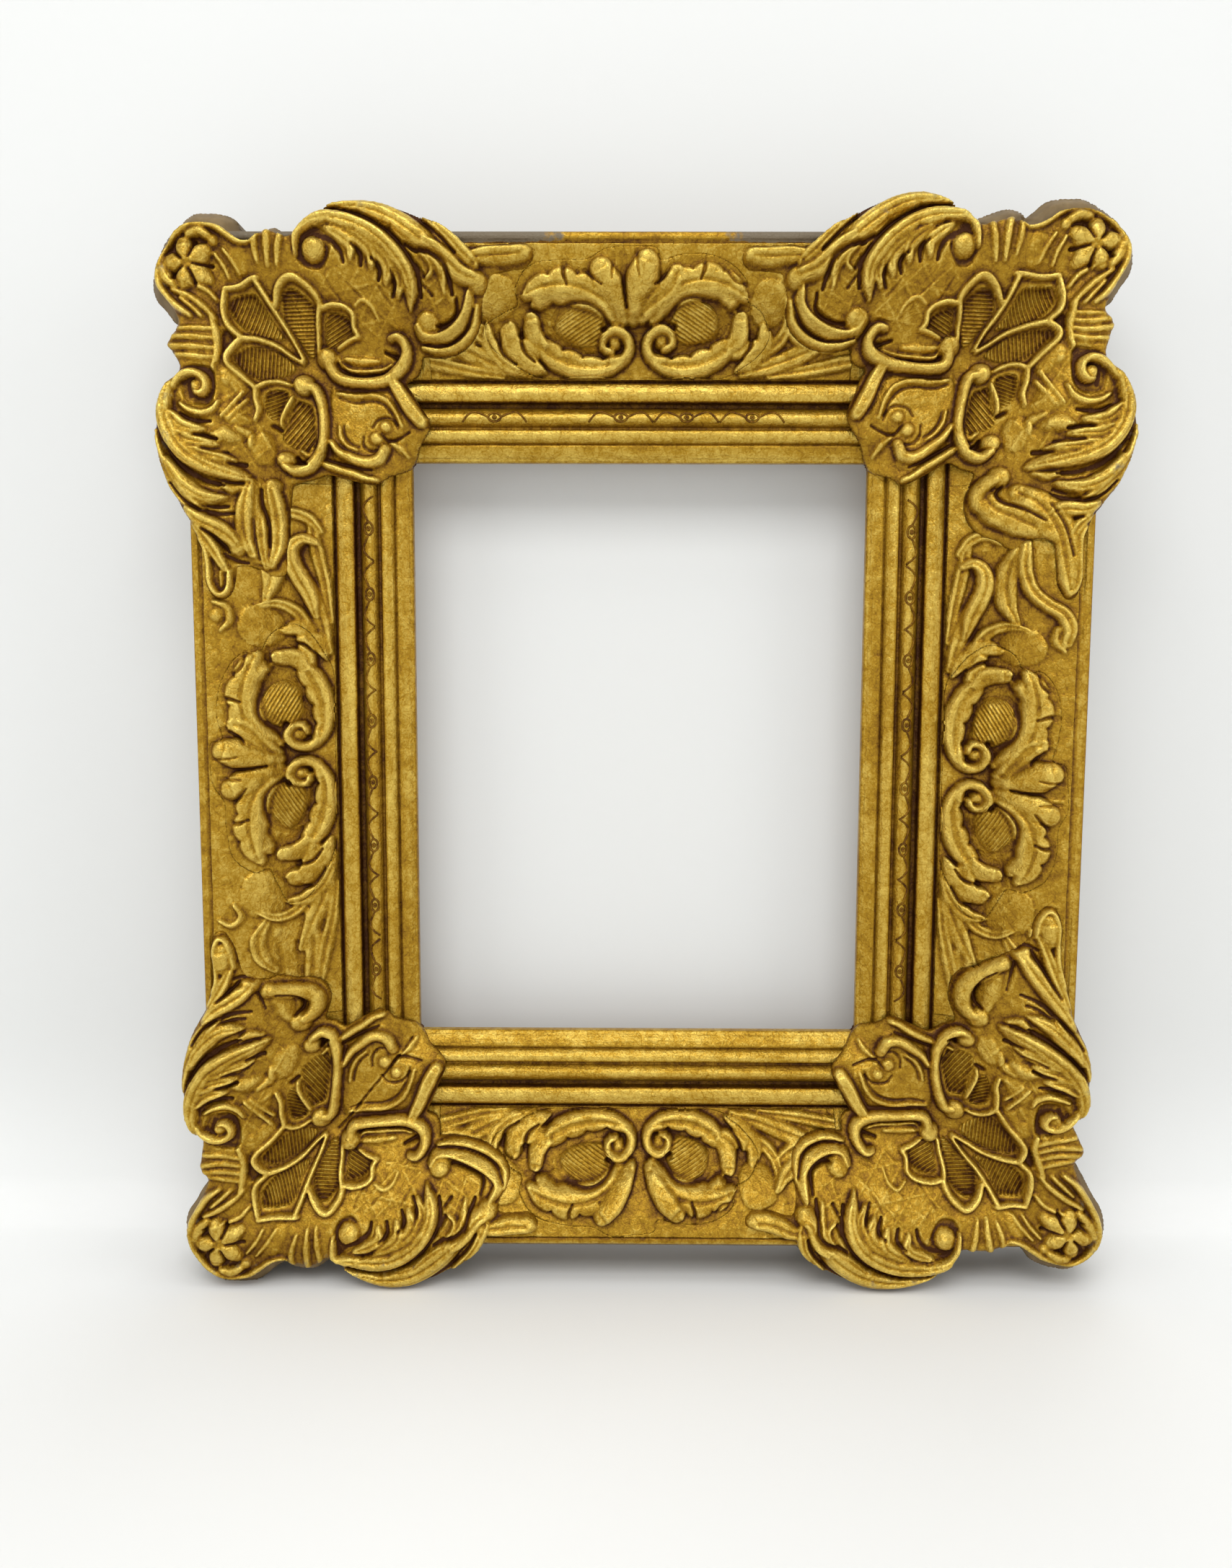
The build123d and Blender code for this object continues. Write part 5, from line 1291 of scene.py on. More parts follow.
# The foot of the side leaf: a reeded stem at the top left, a C scroll at both lower corners
reededStem = {
    "mounds": [
        ([(60, -10), (64, -18), (65, -28), (63, -38), (60, -43), (55, -44), (52.4, -36), (51, -26), (51, -16),
         (54, -11)], 2.6, 0.8, 6.0),
    ],
    "strokes": [
        ("leaf", [(60, -12), (62, -21), (62.4, -31), (60, -40)], [4, 7, 7, 4], 4.0, 1.0, 2),
        ("leaf", [(53, -12), (51.6, -20), (50.8, -28), (51.4, -37), (53.6, -44)], [4.6, 6.4, 6.4, 5.6, 3], 4.2, 1.0,
         1),
        ("leaf", [(56.4, -22), (56.8, -30), (56.6, -38), (55.4, -45)], [2, 5, 5, 2.4], 3.0, 1.0, 1),
        ("rod", [(52.4, -12.6)], [6.4], 4.4, 1.2),
    ],
    "grooves": [([(56.6, -14), (56.4, -20), (54.4, -28), (54, -37)], [1.6, 2.4, 1.8, 1], 2.8),
                ([(59.4, -26), (59, -34), (57.6, -42)], [0.9, 1.5, 1], 1.8)],
}
cScroll = {
    "strokes": [
        ("rod", [(54.6, -16), (55.6, -23), (57.4, -30)], [5, 10, 7], 2.6, 0.9, "soft"),
        ("rod", [(51.5, -13), (48.4, -14.4), (46, -17.6), (44.9, -22), (45, -27), (46.8, -31.8), (50, -35.4),
         (54, -37), (58.6, -36.4)], [5, 6, 6.8, 7.2, 7.4, 7.4, 7.2, 6.8, 6], 5.0, 0.8),
        ("rod", [(51.6, -12.6)], [8.8], 5.0, 0.8),
        ("rod", [(58.4, -36)], [7.4], 4.6, 0.8),
        ("rod", [(72.4, -45), (71.8, -51.4)], [6.4, 9.4], 4.6, 0.7),
    ],
    "grooves": [([(53, -16.6), (50.4, -20), (49.8, -26), (52.4, -31), (57, -32.4)], [1.2, 2.2, 2.4, 2, 1.2], 2.6),
                ([(61.4, -24), (62.8, -31), (64, -38)], [0.9, 1.6, 1.0], 1.8)],
}

# At the top right the foot spreads into a leaf that comes to a point
spreadLeaf = {
    "mounds": [
        ([(44, -20), (45, -30), (49, -38), (56, -43.4), (64, -45), (70, -52), (74, -46), (72, -36), (66, -26),
         (58, -20), (50, -17)], 2.6, 0.9, 6.0),
    ],
    "strokes": [
        ("leaf", [(46, -21), (48.6, -30), (54, -36.6), (62, -41.4)], [8, 13, 14, 9], 4.2, 0.9, 2),
        ("leaf", [(57, -24), (62.4, -33), (68, -42), (71.6, -56)], [9, 15, 14, 4], 4.6, 0.7, 2),
        ("rod", [(51.5, -12.6), (47.6, -14.2), (45, -17.6), (43.8, -22), (44.2, -27), (46, -32)], [5.4, 6.4, 6.8, 6.4,
         5, 2.6], 5.0, 0.8),
        ("rod", [(51.6, -12.6)], [8.8], 5.0, 0.8),
    ],
    "grooves": [([(52.8, -17), (50.6, -21), (52, -27), (57, -33), (63, -38.6)], [1.2, 2.4, 2, 1.6, 1], 2.4),
                ([(66, -30), (70, -38), (72.4, -46)], [0.9, 1.6, 1.0], 1.8)],
}
scrollFoot = {"top_left": reededStem, "top_right": spreadLeaf, "bottom_left": cScroll, "bottom_right": cScroll}

mitreCrack = {    # the lower left mitre has opened and cracked the casting
    "grooves": [([(2, 1), (11, 10.4), (19, 18), (28, 27.4), (36, 35.4)], [0.7, 0.9, 0.8, 0.9, 0.6], 2.2)],
}

carving = {
    "step": 0.52, "low": (-60, -66), "high": (104, 105),
    "ground": 1.2, "seed": 11, "soften": 0.26,
    "outerFrom": 84.0,      # the wood shows past the casting from here outwards
    "inset": {"top_left": 0.9, "top_right": 0.9, "bottom_left": 0.3, "bottom_right": 0.3},
    "woodOut": {"top_left": 2.4, "top_right": 2.6, "bottom_left": 0.8, "bottom_right": 1.2},
    "rubbedFrom": 78, "rubbed": 0.36,
}


# Moves the part of a ring that lies past a line inwards, or outwards where the amount is negative
def drawnIn(ring, amount, past):
    ahead, behind = np.roll(ring, -3, 0), np.roll(ring, 3, 0)
    d = ahead - behind
    turn = np.sign((ring[:, 0] * np.roll(ring[:, 1], -1) - ring[:, 1] * np.roll(ring[:, 0], -1)).sum())
    inward = np.c_[-d[:, 1], d[:, 0]] * turn / np.hypot(*d.T)[:, None]
    share = np.clip((ring.max(1) - past) / 3, 0, 1)
    return ring + inward * (amount * share)[:, None]


def mitredOut(x, y, soften=5.0):
    return 0.5 * (x + y + np.sqrt((x - y)**2 + soften**2)) - soften / 4


def cornerPlace(corner):
    handX = 1 if "right" in corner else -1
    handZ = 1 if "top" in corner else -1

    def place(a, b, h):
        return toRoom(handX * (moulding["halfWidth"] + a), handZ * (moulding["halfHeight"] + b), h)
    return place


def carve(board, design):
    for hollow in design.get("cells", ()):
        cell(board, *hollow)
    for pillow in design.get("mounds", ()):
        mound(board, *pillow)
    for points, families in design.get("lattices", ()):
        lattice(board, points, families)
    for kind, *stroke in design.get("strokes", ()):
        (frond if kind == "leaf" else ridge)(board, *stroke)
    for points, widths, depth in design.get("grooves", ()):
        groove(board, points, widths, depth)


def makeCornerCasting(corner, c):
    seed = c["seed"] + corners.index(corner)
    board = newBoard(c["low"], c["high"], c["step"], cornerWarp[corner], c["ground"], seed)
    foot = scrollFoot[corner]
    # the spread leaf lies over the side leaf, and the other feet under it
    order = [cornerLeaves, foot] if foot is spreadLeaf else [foot, cornerLeaves]
    for design in [cornerGround] + order + [cornerScrolls]:
        carve(board, design)
    if corner == "bottom_left":
        carve(board, mitreCrack)
    board["z"] = blurred(board["z"], c["soften"], c["step"])
    edgeRing = drawnIn(closedRing(board, castingRing(corner), 0.7), c["inset"][corner], c["outerFrom"])
    field = outlineField(board, edgeRing, 3.0)
    i, j = field[0]

    def surface(x, y, gap):
        edge = np.clip(gap / 1.6, 0, 1)
        out = np.maximum(x, y)
        own = bedHeight(bed, mitredOut(x, y)) + board["z"][i, j] - 0.9 * (1 - edge)**2
        return np.maximum(own, railTop(out) + 0.35)

    def floor(x, y):
        return bedHeight(under, mitredOut(x, y))
    x, y = np.meshgrid(board["a"], board["b"], indexing="ij")
    rubbedThrough = c["rubbed"] * np.clip((np.maximum(x, y) - c["rubbedFrom"]) / 10, 0, 1)
    name = "corner_casting_" + corner
    obj = meshBoard(board, field, cornerPlace(corner), name + "_carved", [giltCarving], surface, floor,
                    hollowTone(board), tooling=board["tooling"], tooled=board["tooled"], worn=rubbedThrough)
    fit(obj, name)
    print(corner, "casting carved,", len(obj.data.polygons), "faces")


for corner in corners:
    makeCornerCasting(corner, carving)


# The hollow of each rail: one running design, carved over the full length

# Along the rail from its middle, then outwards from the sight edge
runningDesign = {
    "mounds": [
        ([(11, 48), (12, 53), (16, 57), (22, 58.6), (28, 57), (31, 52.6), (29.6, 47.6), (24, 44.6), (16, 44.6)], 3.0,
         0.3, 7.0, (62, 1.3)),
        ([(-11, 50), (-13, 54), (-18, 57.4), (-25, 57.6), (-30.6, 54.4), (-32.6, 50.6), (-28, 46.6), (-21, 45),
         (-14, 45.6)], 3.0, 0.3, 7.0, (118, 1.3)),
        ([(-66, 53), (-58, 50.5), (-50, 54), (-47, 61), (-51, 67), (-60, 68), (-67, 63)], 1.6, 0.5, 6),
        ([(47, 51), (55, 51), (60, 56), (60, 64), (53, 68), (46, 66), (43, 58)], 1.8, 0.5, 6),
    ],
    "strokes": [
        # low sweeps towards the corners
        ("leaf", [(-44, 34.4), (-58, 37.4), (-70, 42), (-82, 47)], [3, 7, 8, 4], 2.6, 0.4, 2),
        ("leaf", [(-56, 33.8), (-70, 35.6), (-84, 38.6), (-97, 41)], [3, 5, 6, 4], 2.0, 0.4, 1),
        ("leaf", [(42, 34.4), (54, 37.4), (65, 41.4), (77, 46)], [3, 7, 8, 4], 2.6, 0.4, 2),
        ("leaf", [(54, 33.8), (68, 35.6), (83, 38.4), (97, 40.6)], [3, 5, 6, 4], 2.0, 0.4, 1),
        ("leaf", [(43, 40.6), (51, 42.8), (57.4, 47), (60.6, 53), (59.4, 60)], [2, 4.4, 5.4, 4.6, 2], 2.6, 0.5, 1),
        ("leaf", [(-64, 61), (-67.4, 54), (-65, 47.4), (-58, 43)], [2, 4.4, 5, 3], 2.6, 0.5, 1),
        # flames beside the scrolls
        ("leaf", [(-48, 34.6), (-56, 38.4), (-61, 43.6), (-62, 49.6)], [3, 7.4, 8, 4.4], 3.4, 0.5, 2, 2, 1),
        ("leaf", [(-38, 35), (-46, 38.8), (-51.4, 43.6), (-52, 49)], [3, 8.4, 9.6, 6.6], 4.2, 0.6, 0, 2, 1),
        ("leaf", [(40, 35.6), (47, 39.6), (51.4, 45), (51, 50.6)], [3, 8, 8.6, 5.4], 3.6, 0.5, 0, 2, -1),
        ("rod", [(-52, 47.6)], [8.6], 4.2, 0.7),
        # broad ragged leaves round the plates
        ("leaf", [(-8, 54), (-13.6, 59.6), (-20.6, 63.2), (-28.6, 64.6), (-36.6, 63.6), (-44, 61)], [6, 10, 12.6, 13,
         11, 5], 4.6, 0.4, 2, 4, -1),
        ("leaf", [(5, 53.4), (10, 59.6), (17, 63.4), (25, 65), (33, 64), (41, 61)], [6, 10, 12.6, 13, 11, 5], 4.6,
         0.4, 2, 4, 1),
        ("leaf", [(30, 62), (34.4, 60), (37, 57.4)], [5, 6.4, 4.4], 4.2, 0.5, 0),
        ("leaf", [(-33, 61.6), (-37.4, 59.6), (-40, 57.4)], [5, 6.4, 4.4], 4.2, 0.5, 0),
        # leaves that sweep out from the volutes along the joint, scalloped on the inner side, with forked tips
        ("leaf", [(4.6, 40.4), (10, 37.6), (17, 37), (25, 38.4), (32, 41.6), (37, 45)], [5, 7.4, 9.4, 10.6, 10.4, 7],
         4.6, 0.5, 1, 4, 1),
        ("leaf", [(34, 42.6), (39.4, 46.6), (40, 53)], [5, 8.4, 6.4], 4.8, 0.6, 0),
        ("leaf", [(37, 41.4), (43.6, 43.6), (48.4, 45.4)], [4, 7, 5], 4.2, 0.6, 0),
        ("leaf", [(-5, 40.4), (-11, 37.6), (-18, 37), (-27, 38.6), (-34, 41.6), (-39, 45)], [5, 7.4, 9.4, 10.6, 10.4,
         7], 4.6, 0.5, 1, 4, -1),
        ("leaf", [(-36, 42.6), (-41.4, 46.6), (-42.4, 52.6)], [5, 8.4, 6.4], 4.8, 0.6, 0),
        ("leaf", [(-39, 41), (-45.6, 43), (-50.4, 45)], [4, 7, 5], 4.2, 0.6, 0),
        # volutes
        ("rod", [(11, 38.6), (5.6, 39.4), (3.2, 43.2), (4.4, 47.4), (8.4, 49.4), (12.2, 47.6), (12.6, 43.8),
         (9.6, 42.6)], [4, 4.6, 4.6, 4.6, 4.4, 4, 3.4, 3], 4.8, 0.8),
        ("rod", [(8.6, 45.4)], [5.4], 3.8, 0.8),
        ("rod", [(-11.4, 38.8), (-6, 39.6), (-3.4, 43.4), (-4.6, 47.8), (-8.8, 50), (-12.8, 48), (-13.2, 44),
         (-10, 42.8)], [4, 4.6, 4.6, 4.6, 4.4, 4, 3.4, 3], 4.8, 0.8),
        ("rod", [(-9, 45.8)], [5.4], 3.8, 0.8),
    ],
    "grooves": [
        ([(11, 51), (13, 56), (18, 59), (25.6, 59), (31, 55.4), (32.4, 50)], [1.4, 2, 2, 2, 2, 1.4], 3.2),
        ([(-11, 52.6), (-14.6, 56.6), (-20, 59), (-27.6, 58.4), (-32.4, 54.6), (-34, 50)], [1.4, 2, 2, 2, 2, 1.4],
         3.2),
        ([(12.6, 64), (13, 68), (11.6, 72)], [1, 2.2, 2.4], 2.4),
        ([(23, 65), (24.4, 69), (24, 73)], [1, 2.2, 2.4], 2.4),
        ([(-16.4, 63.6), (-16.4, 67), (-15, 71)], [1, 2.2, 2.4], 2.4),
        ([(-27, 64.6), (-28.4, 68), (-28, 72)], [1, 2.2, 2.4], 2.4),
        ([(31, 47), (33.6, 50.6), (35, 54.6)], [2, 2.6, 2], 3.0),
        ([(-33, 47), (-36, 50.4), (-37.4, 54)], [2, 2.6, 2], 3.0),
        ([(13, 42.4), (18, 42.6), (24, 44.4)], [2.4, 2.4, 1.6], 2.4),
        ([(-13.6, 42.6), (-19, 42.6), (-25, 44.4)], [2.4, 2.4, 1.6], 2.4),
        ([(13, 50.4)], [4, 4], 2.6),
        ([(33.6, 54), (38, 56.6), (43.6, 57.4)], [2, 2.6, 2], 2.6),
        ([(-35.4, 54), (-41, 55.8), (-46.4, 56.6)], [2, 2.6, 2], 2.6),
        ([(34, 68), (37, 65), (42, 64.6)], [2, 2, 1.6], 2.0),
        ([(-13, 51)], [4, 4], 2.6),
        ([(41.6, 40), (45, 44.4), (45.6, 50)], [1.2, 2, 1.8], 2.6),
        ([(-41.4, 38.4), (-46, 42), (-47.4, 48)], [1.2, 2, 1.8], 2.6),
        ([(-50, 37.6), (-56, 41.8), (-57, 48)], [1.2, 1.8, 1.6], 2.2),
        ([(-4, 50.6), (0, 49.4), (4, 50.6)], [2.4, 4, 2.4], 3.2),
    ],
}
palmette = {
    "strokes": [
        ("leaf", [(1, 54), (6.6, 58.4), (11.4, 62.2), (13.6, 66.6)], [5, 8, 9.4, 7.6], 4.6, 0.6, 1),
        ("rod", [(-6, 54), (-9.4, 60), (-12.2, 65.4), (-13.8, 69.6)], [6, 10.4, 13.4, 9.6], 5.0, 0.6),
        ("rod", [(-2, 54), (-0.4, 61), (1.6, 66.8), (2.8, 71)], [6, 10.4, 13.8, 10], 5.6, 0.6),
    ],
    "grooves": [([(-4.4, 57), (-5.4, 64), (-5.8, 75)], [0.9, 1.9, 2.8], 3.8),
                ([(-13.6, 64.4), (-17, 67), (-20, 70)], [0.9, 1.6, 1.8], 2.2),
                ([(-10, 66), (-9.6, 70), (-9.4, 75)], [0.8, 1.3, 1.6], 1.7),
                ([(5.6, 63.6), (9, 66), (11, 69)], [0.9, 1.6, 1.8], 2.2),
                ([(0.2, 66), (-0.6, 70), (-0.8, 76)], [0.8, 1.3, 1.6], 1.7)],
}
openFan = {       # the bottom rail has no palmette: two bright bands part instead
    "strokes": [
        ("leaf", [(-4, 53.4), (-7.4, 58.4), (-11, 63.6), (-15.4, 68.6)], [5, 9, 10.4, 8], 5.6, 0.8, 0),
        ("leaf", [(4.4, 54.4), (7.6, 59.4), (11.4, 64.4), (16, 69)], [5, 9, 10.4, 8], 5.6, 0.8, 0),
    ],
}
sideHook = {      # the upright rails end in a hook near the top
    "strokes": [
        ("leaf", [(56, 39.4), (64, 41.4), (72, 45), (79, 47.2), (85, 46.4), (88.2, 42.6), (87, 38.6)], [3.4, 6.6, 7.4,
         7.4, 6.6, 5.4, 3.6], 4.6, 0.6, 2),
        ("leaf", [(92, 37), (97, 41), (99, 47), (96, 52)], [3, 5, 5, 3], 2.6, 0.6, 1),
        ("rod", [(50, 73), (54, 69.6), (59, 70.4), (61, 75)], [1.6, 3.4, 3.4, 2], 2.4, 0.5),
        ("rod", [(56, 74)], [6], 2.8, 0.5),
        ("rod", [(-66, 75), (-68.4, 70.4), (-65, 66.8), (-60.4, 69.4)], [1.6, 3, 3, 1.6], 2.4, 0.5),
        ("leaf", [(62, 57), (72, 54), (84, 54.6), (94, 58)], [3, 8, 8, 4], 2.8, 0.5, 2),
        ("leaf", [(-66, 44), (-78, 43), (-92, 44), (-106, 46)], [3, 7, 7, 5], 2.0, 0.4, 1),
        ("leaf", [(-68, 58), (-76, 62), (-84, 61), (-90, 57)], [3, 6, 6, 3], 1.8, 0.4, 1),
    ],
    "grooves": [([(76, 42.4), (82, 42.6)], [2.6, 3.4], 2.4)],
}
rightScroll = {   # on the right rail a long S runs down from the rim
    "strokes": [
        ("leaf", [(54, 73.4), (60, 74.6), (66, 72.4), (70.4, 67), (76, 62.4), (85, 60), (95, 60)], [5, 6.4, 6, 5.6,
         5.6, 5.6, 4], 3.6, 0.5, 1),
        ("leaf", [(-80, 67), (-72, 71), (-64, 72.6), (-58, 70)], [4, 8, 8, 3], 3.0, 0.5, 2),
    ],
}
leftChip = {
    "grooves": [([(-94, 49), (-79, 49)], [1.6, 1.6], 2.2), ([(-93, 54.6), (-79, 55)], [1.4, 1.4], 1.8)],
}
endLeaves = {     # the level rails have a leaf that turns under each corner casting
    "strokes": [
        ("leaf", [(60, 60), (64, 54.6), (71, 51.4), (79, 52)], [3, 7, 8, 5], 3.6, 0.6, 2),
        ("leaf", [(60, 51), (67, 47), (76, 45.4), (86, 46)], [3, 6, 7, 4], 2.8, 0.5, 1),
        ("leaf", [(-64, 50), (-70, 45.6), (-78, 43.4), (-87, 43)], [3, 6, 7, 4], 2.8, 0.5, 1),
    ],
}
railCarving = {
    "step": 0.5,
    "ground": 0.55, "seed": 31, "soften": 0.26,
    "shift": {"top": -1, "bottom": 0, "left": 1, "right": -7},
    "upright": 112,     # half length of the carved ground, hidden at its ends by the corner castings
    "level": 86,
    # base tone of each rail's gold: the top rail painted lighter and the bottom darker, painted light for how the
    # lamps fall
    "tone": {"top": 0.57, "bottom": 0.485, "left": 0.53, "right": 0.525},
    "deep": 0.84,
    "tooled": 0.55,     # the tooling is fainter here than on the castings
    "least": 0.12,      # the relief never sinks lower than this
    "near": 32.6,       # from the joint line to the rim
    "far": 78.0,
}

# The casting at the middle is a piece of its own; its edge runs round the ornament
centreEdge = [
    (-40, 33.4), (-20, 33.2), (0, 33.2), (20, 33.0), (34, 33.4), (43, 37), (50, 42.6), (53, 49), (49, 55.6), (42, 60),
    (41.4, 66), (35, 71), (26, 73.6), (16, 73.6), (8, 72), (6, 76.4), (-2, 77.2), (-12, 77), (-19.6, 73.4), (-30, 73),
    (-42, 70.4), (-48.4, 63), (-48, 57.4), (-55, 54), (-62, 50.4), (-60, 43), (-50, 37),
]


def sidePlace(side):
    def place(t, u, h):
        return turnTo(side, -t if side in ("bottom", "right") else t, u, h)
    return place


# 1 where a corner casting lies over the rail, so that nothing of the rail's own relief shows through it
def underCorner(side, t, u):
    half = moulding["halfHeight"] if side in ("left", "right") else moulding["halfWidth"]
    covered = np.zeros(t.shape)
    for end in (-1, 1):
        if side in ("left", "right"):
            corner = ("top_" if end > 0 else "bottom_") + side
        else:
            corner = side + ("_right" if end > 0 else "_left")
        ring = smoothRun(cornerWarp[corner](castingRing(corner)), 1.0, closed=True)[0][:-1]
        inward = end * t - half
        a, b = (u, inward) if side in ("left", "right") else (inward, u)
        covered = np.maximum(covered, insideOf(a, b, ring) * 1.0)
    soft = blurred(covered, 1.2, railCarving["step"])
    return np.clip((soft - 0.6) * 3, 0, 1)


def makeRail(side, c):
    upright = side in ("left", "right")
    half = c["upright"] if upright else c["level"]
    shift = c["shift"][side]
    phase = 1.7 * sides.index(side)

    def byHand(points):
        points = np.asarray(points, float)
        t, u = points[:, 0], points[:, 1]
        sway = 0.8 * np.sin(t / 12 + 2 * phase) * np.clip((u - 36) / 8, 0, 1)
        return np.c_[t + shift + 1.1 * np.sin(t / 15 + phase), u + sway]
    low, high = (-half, c["near"] - 1), (half, c["far"] + 1)
    board = newBoard(low, high, c["step"], byHand, c["ground"], c["seed"] + sides.index(side))
    carve(board, {"mounds": runningDesign["mounds"]})
    carve(board, sideHook if upright else endLeaves)
    if side == "left":
        carve(board, leftChip)
    if side == "right":
        carve(board, rightScroll)
    carve(board, {k: runningDesign[k] for k in ("strokes", "grooves")})
    carve(board, openFan if side == "bottom" else palmette)
    x, y = np.meshgrid(board["a"], board["b"], indexing="ij")
    board["z"] *= 1 - underCorner(side, x, y)
    board["tooled"] *= c["tooled"]
    board["z"] = np.maximum(blurred(board["z"], c["soften"], c["step"]), c["least"])
    whole = np.minimum(np.minimum(y - c["near"], c["far"] - y), half - np.abs(x))
    edge = closedRing(board, centreEdge, 0.7)
    (i, j), gap, nearX, nearY = outlineField(board, edge, 3.0)
    inside = np.full(x.shape, -3.0)
    inside[i, j] = gap
    edgeX, edgeY = x.copy(), y.copy()
    edgeX[i, j], edgeY[i, j] = nearX, nearY
    every = (slice(0, None), slice(0, None))
    tone = hollowTone(board, c["tone"][side], c["deep"])
    outerFirst = whole < -inside
    rest = np.where(outerFirst, whole, -inside)
    restX = np.where(outerFirst, np.clip(x, -half, half), edgeX)
    restY = np.where(outerFirst, np.clip(y, c["near"], c["far"]), edgeY)

    def surface(x, y, gap):
        return railTop(y) + board["z"]

    def floor(x, y):
        return railTop(y) - 1.0
    for name, field in (("rail_" + side, (every, rest, restX, restY)),
                        ("centre_casting_" + side, (every, inside, edgeX, edgeY))):
        obj = meshBoard(board, field, sidePlace(side), name + "_carved", [giltCarving], surface, floor, tone,
                        lip=0.6, tuck=0.3, edgeTone=0.4, tooling=board["tooling"], tooled=board["tooled"])
        fit(obj, name)
    print(side, "rail carved")


for side in sides:
    makeRail(side, railCarving)


# Wood behind the corner castings: a block at the corner and an ear on each side of it, edges worn round

woodOutline = {
    "end_ear": [(-26, 81.6), (-20, 84.2), (-15, 86.8), (-10, 89), (-5, 91), (0, 92.4), (5, 93.6), (10, 94.2),
                (16, 94.3), (22, 93.8), (28, 91.5), (32, 89), (36, 84.5), (39.5, 81.7)],
    "corner_block": [(39.5, 81.7), (42, 82.3), (47, 85), (50, 85.3), (54, 83.5), (55.5, 81), (58, 81.5), (62, 84.5),
                     (66, 88), (71, 89.4), (75, 89.5), (80, 89), (86, 84), (90, 79), (93, 72), (94.6, 66), (94, 60.5),
                     (91, 57), (88, 53), (85.4, 49.7), (84.8, 47.5)],
    "side_ear": [(84.8, 47.5), (87.5, 44.5), (90.4, 40), (88, 36), (85, 32.5), (84.6, 31), (86, 29), (90, 25),
                 (93.5, 19), (95.5, 12), (96, 5), (95, 0), (94, -5), (92.5, -10), (90.5, -16), (87, -21.5),
                 (82.5, -28), (81.2, -30)],
}
woodEdge = {
    "inner": 79.4, "top": 45.7, "back": 3.0, "step": 0.6, "seed": 71,
    # width and drop of the worn edge
    "round": {"top_left": (5.4, 8.0), "top_right": (5.4, 8.0), "bottom_left": (2.4, 3.0), "bottom_right": (2.4, 3.0)},
}


def makeWood(corner, kind, w):
    wide, drop = w["round"][corner]
    board = newBoard(carving["low"], carving["high"], w["step"], cornerWarp[corner], 0.0, w["seed"])
    run = smoothRun(cornerWarp[corner](woodOutline[kind]), 0.8)[0]
    if kind == "corner_block":
        run = drawnIn(run, -carving["woodOut"][corner], carving["outerFrom"])
    keep = w["inner"]
    first, last = run[0], run[-1]
    if kind == "end_ear":
        run = np.vstack([run, (last[0], keep), (first[0], keep)])
    elif kind == "side_ear":
        run = np.vstack([run, (keep, last[1]), (keep, first[1])])
    else:
        run = np.vstack([run, (keep, last[1]), (keep, keep), (first[0], keep)])
    field = outlineField(board, run, 5.0)
    # the edge is worn only where it faces outwards
    outer = run[:-3] if kind == "corner_block" else run[:-2]

    def surface(x, y, gap):
        flat = np.c_[x.ravel(), y.ravel()]
        off = np.full(len(flat), 9.0)
        for part in np.array_split(outer, 6):
            off = np.minimum(off, np.hypot(flat[:, None, 0] - part[:, 0], flat[:, None, 1] - part[:, 1]).min(1))
        worn = np.clip(1 - off.reshape(x.shape) / wide, 0, 1)
        i, j = field[0]
        return w["top"] - drop * worn**1.6 + 0.5 * board["z"][i, j]

    def floor(x, y):
        return np.full(np.shape(x), w["back"])
    name = kind + "_" + corner
    obj = meshBoard(board, field, cornerPlace(corner), name + "_worn", [tonedWood], surface, floor,
                    np.zeros(board["z"].shape), lip=38.0, tuck=0.4)
    fit(obj, name)


for corner in corners:
    for kind in woodOutline:
        makeWood(corner, kind, woodEdge)
print("blocks and ears worn")


# Eyes along the beads of the sight strips: raised lines toned dark, painted shade that makes them read as cut

stripEyes = {
    "out": 17.4, "height": 20.42,
    "left": [-93, -65, -39, -12, 14, 40, 67, 94],
    "right": [93, 66, 40, 13, -14, -40, -66, -93],
    "top": [-60, -8, 19, 46],
}


def repeatTree():
    tree = bpy.data.node_groups.new("eyesAlongBead", "GeometryNodeTree")
    for label, kind in (("Spots", "NodeSocketGeometry"), ("Eye", "NodeSocketObject"), ("Size", "NodeSocketFloat"),
                        ("Finish", "NodeSocketMaterial")):
        tree.interface.new_socket(label, in_out="INPUT", socket_type=kind)
    tree.interface.new_socket("Eyes", in_out="OUTPUT", socket_type="NodeSocketGeometry")
    add, link = tree.nodes.new, tree.links.new
    given, result = add("NodeGroupInput"), add("NodeGroupOutput")
    shape = add("GeometryNodeObjectInfo")
    spread = add("GeometryNodeInstanceOnPoints")
    points = add("GeometryNodeMeshToPoints")
    real = add("GeometryNodeRealizeInstances")
    finish = add("GeometryNodeSetMaterial")
    link(given.outputs["Spots"], points.inputs["Mesh"])
    link(points.outputs[0], spread.inputs["Points"])
    link(given.outputs["Eye"], shape.inputs["Object"])
    link(shape.outputs["Geometry"], spread.inputs["Instance"])
    link(given.outputs["Size"], spread.inputs["Scale"])
    link(spread.outputs[0], real.inputs[0])
    link(real.outputs[0], finish.inputs["Geometry"])
    link(given.outputs["Finish"], finish.inputs["Material"])
    link(finish.outputs[0], result.inputs[0])
    return tree


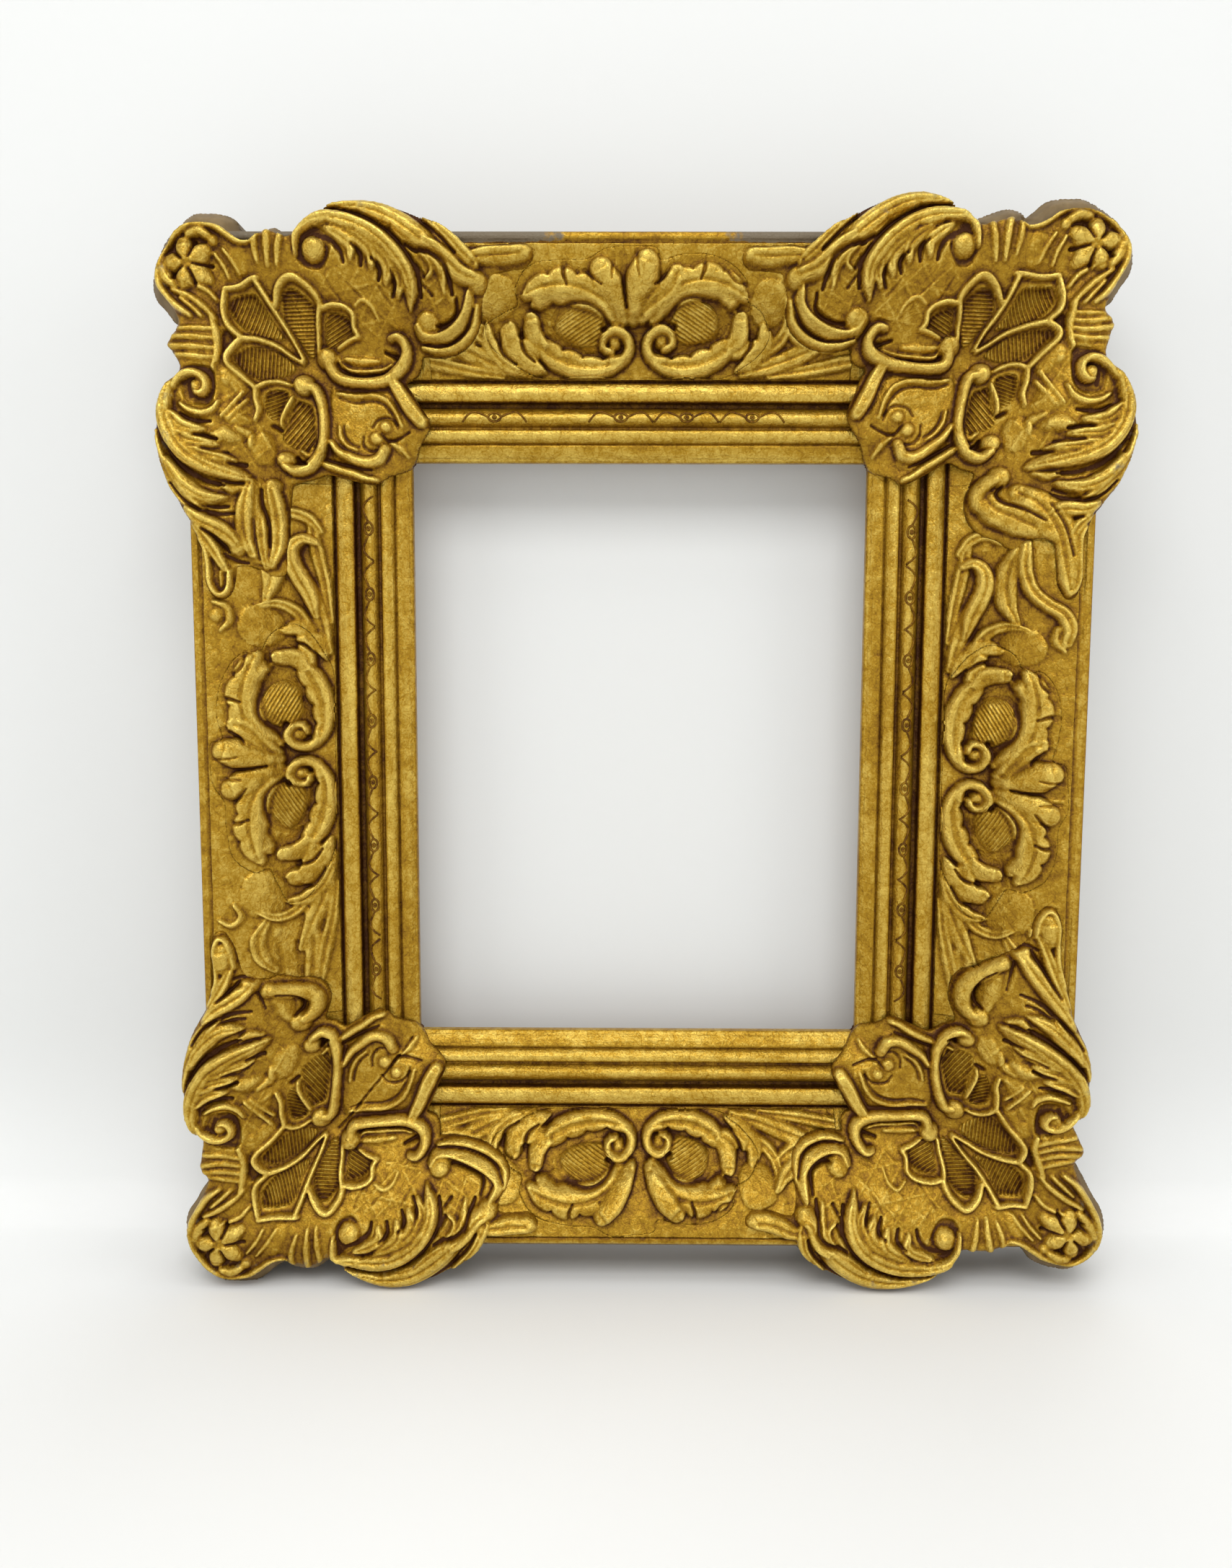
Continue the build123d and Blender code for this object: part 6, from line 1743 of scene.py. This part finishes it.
def tube(path, radius, sidesCount=7, closed=True):
    path = np.asarray(path, float)
    n = len(path)
    nextP = np.roll(path, -1, 0) if closed else np.vstack([path[1:], path[-1:]])
    prevP = np.roll(path, 1, 0) if closed else np.vstack([path[:1], path[:-1]])
    d = nextP - prevP
    d /= np.linalg.norm(d, axis=1)[:, None]
    side = np.c_[d[:, 1], -d[:, 0], np.zeros(n)]
    side /= np.linalg.norm(side, axis=1)[:, None]
    up = np.cross(side, d)
    ang = np.linspace(0, tau, sidesCount, endpoint=False)
    around = np.cos(ang)[None, :, None] * side[:, None] + np.sin(ang)[None, :, None] * up[:, None]
    rings = path[:, None] + radius * around
    faces = []
    last = n if closed else n - 1
    for k in range(last):
        for m in range(sidesCount):
            a = k * sidesCount + m
            b = k * sidesCount + (m + 1) % sidesCount
            c = ((k + 1) % n) * sidesCount + (m + 1) % sidesCount
            e = ((k + 1) % n) * sidesCount + m
            faces.append((a, e, c, b))
    points = rings.reshape(-1, 3)
    if not closed:
        faces.append(tuple(range(sidesCount)))
        faces.append(tuple(range((n - 1) * sidesCount, n * sidesCount))[::-1])
    return points, faces


def eyeShape():
    # an open lid over a round pupil, then two darts that spring from its ends, lying on the bead
    pieces = []
    t = np.linspace(0, tau, 24, endpoint=False)
    lid = np.c_[2.6 * np.cos(t), 1.7 * np.sin(t), np.zeros(24)]
    pupil = np.c_[0.55 * np.cos(t[::2]), 0.55 * np.sin(t[::2]), np.full(12, 0.12)]
    dart = np.array([(2.6, 0, 0), (5.5, 1.4, 0), (8.6, 2.3, 0), (11, 0.8, 0), (13.2, -1.9, 0)])
    mirrored = dart * (-1, 1, 1)
    for path, radius, closed in ((lid, 0.5, True), (pupil, 0.5, True), (dart, 0.44, False), (mirrored, 0.44, False)):
        if not closed:
            flat, _ = smoothRun(path[:, :2], 0.8)
            path = np.c_[flat, np.zeros(len(flat))]
        path = path.copy()
        path[:, 2] -= 0.21 * path[:, 1] * path[:, 1]    # down the round of the bead
        pieces.append(tube(path, radius, closed=closed))
    start, points, faces = 0, [], []
    for p, f in pieces:
        points.append(p)
        faces += [tuple(v + start for v in face) for face in f]
        start += len(p)
    return np.vstack(points), faces


def makeEyes(side, e, tree):
    points, faces = eyeShape()
    shape = bpy.data.meshes.new("eyeShape")
    shape.from_pydata(points.tolist(), [], faces)
    source = bpy.data.objects.new("eyeShape", shape)
    spots = bpy.data.meshes.new("spots")
    spots.from_pydata([(t, 0, 0) for t in e[side]], [], [])
    blank = bpy.data.objects.new("eyeSpots", spots)
    for obj in (source, blank):
        bpy.context.scene.collection.objects.link(obj)
    modifier = blank.modifiers.new("eyes", "NODES")
    modifier.node_group = tree
    setInput(modifier, tree, "Eye", source)
    setInput(modifier, tree, "Size", 1.0)
    setInput(modifier, tree, "Finish", giltCarving)
    made = evaluated(blank)
    p, f = meshArrays(made)
    bpy.data.objects.remove(blank)
    bpy.data.objects.remove(source)
    room = sidePlace(side)(p[:, 0], e["out"] + p[:, 1], e["height"] + p[:, 2])
    f = [face[::-1] for face in f] if side in ("left", "bottom") else f
    # a fixed dark tone on the raised eyes: painted shade standing in for cut lines
    obj = addPiece("sight_strip_" + side + "_eyes", room, f, [giltCarving], cavity=np.full(len(p), 0.2))
    fit(obj, "sight_strip_" + side)


eyes = repeatTree()
for side in ("left", "right", "top"):
    makeEyes(side, stripEyes, eyes)
print("eyes cut along the beads")


# The parts that keep their CAD shape

cadFinish = {       # by the start of the name
    "mitre_spline": keyWood,
    "hanger_strap": steel,
    "hanger_ring": ringSteel,
    "hanger_screws": screwSteel,
    "turn_button_screws": brassScrew,
    "turn_button_": brass,
    "strip_brads": bradSteel,
}
for name, node in nodes.items():
    for start, finish in cadFinish.items():
        if name.startswith(start):
            node.data.materials.clear()
            node.data.materials.append(finish)
            break
print("CAD parts finished")
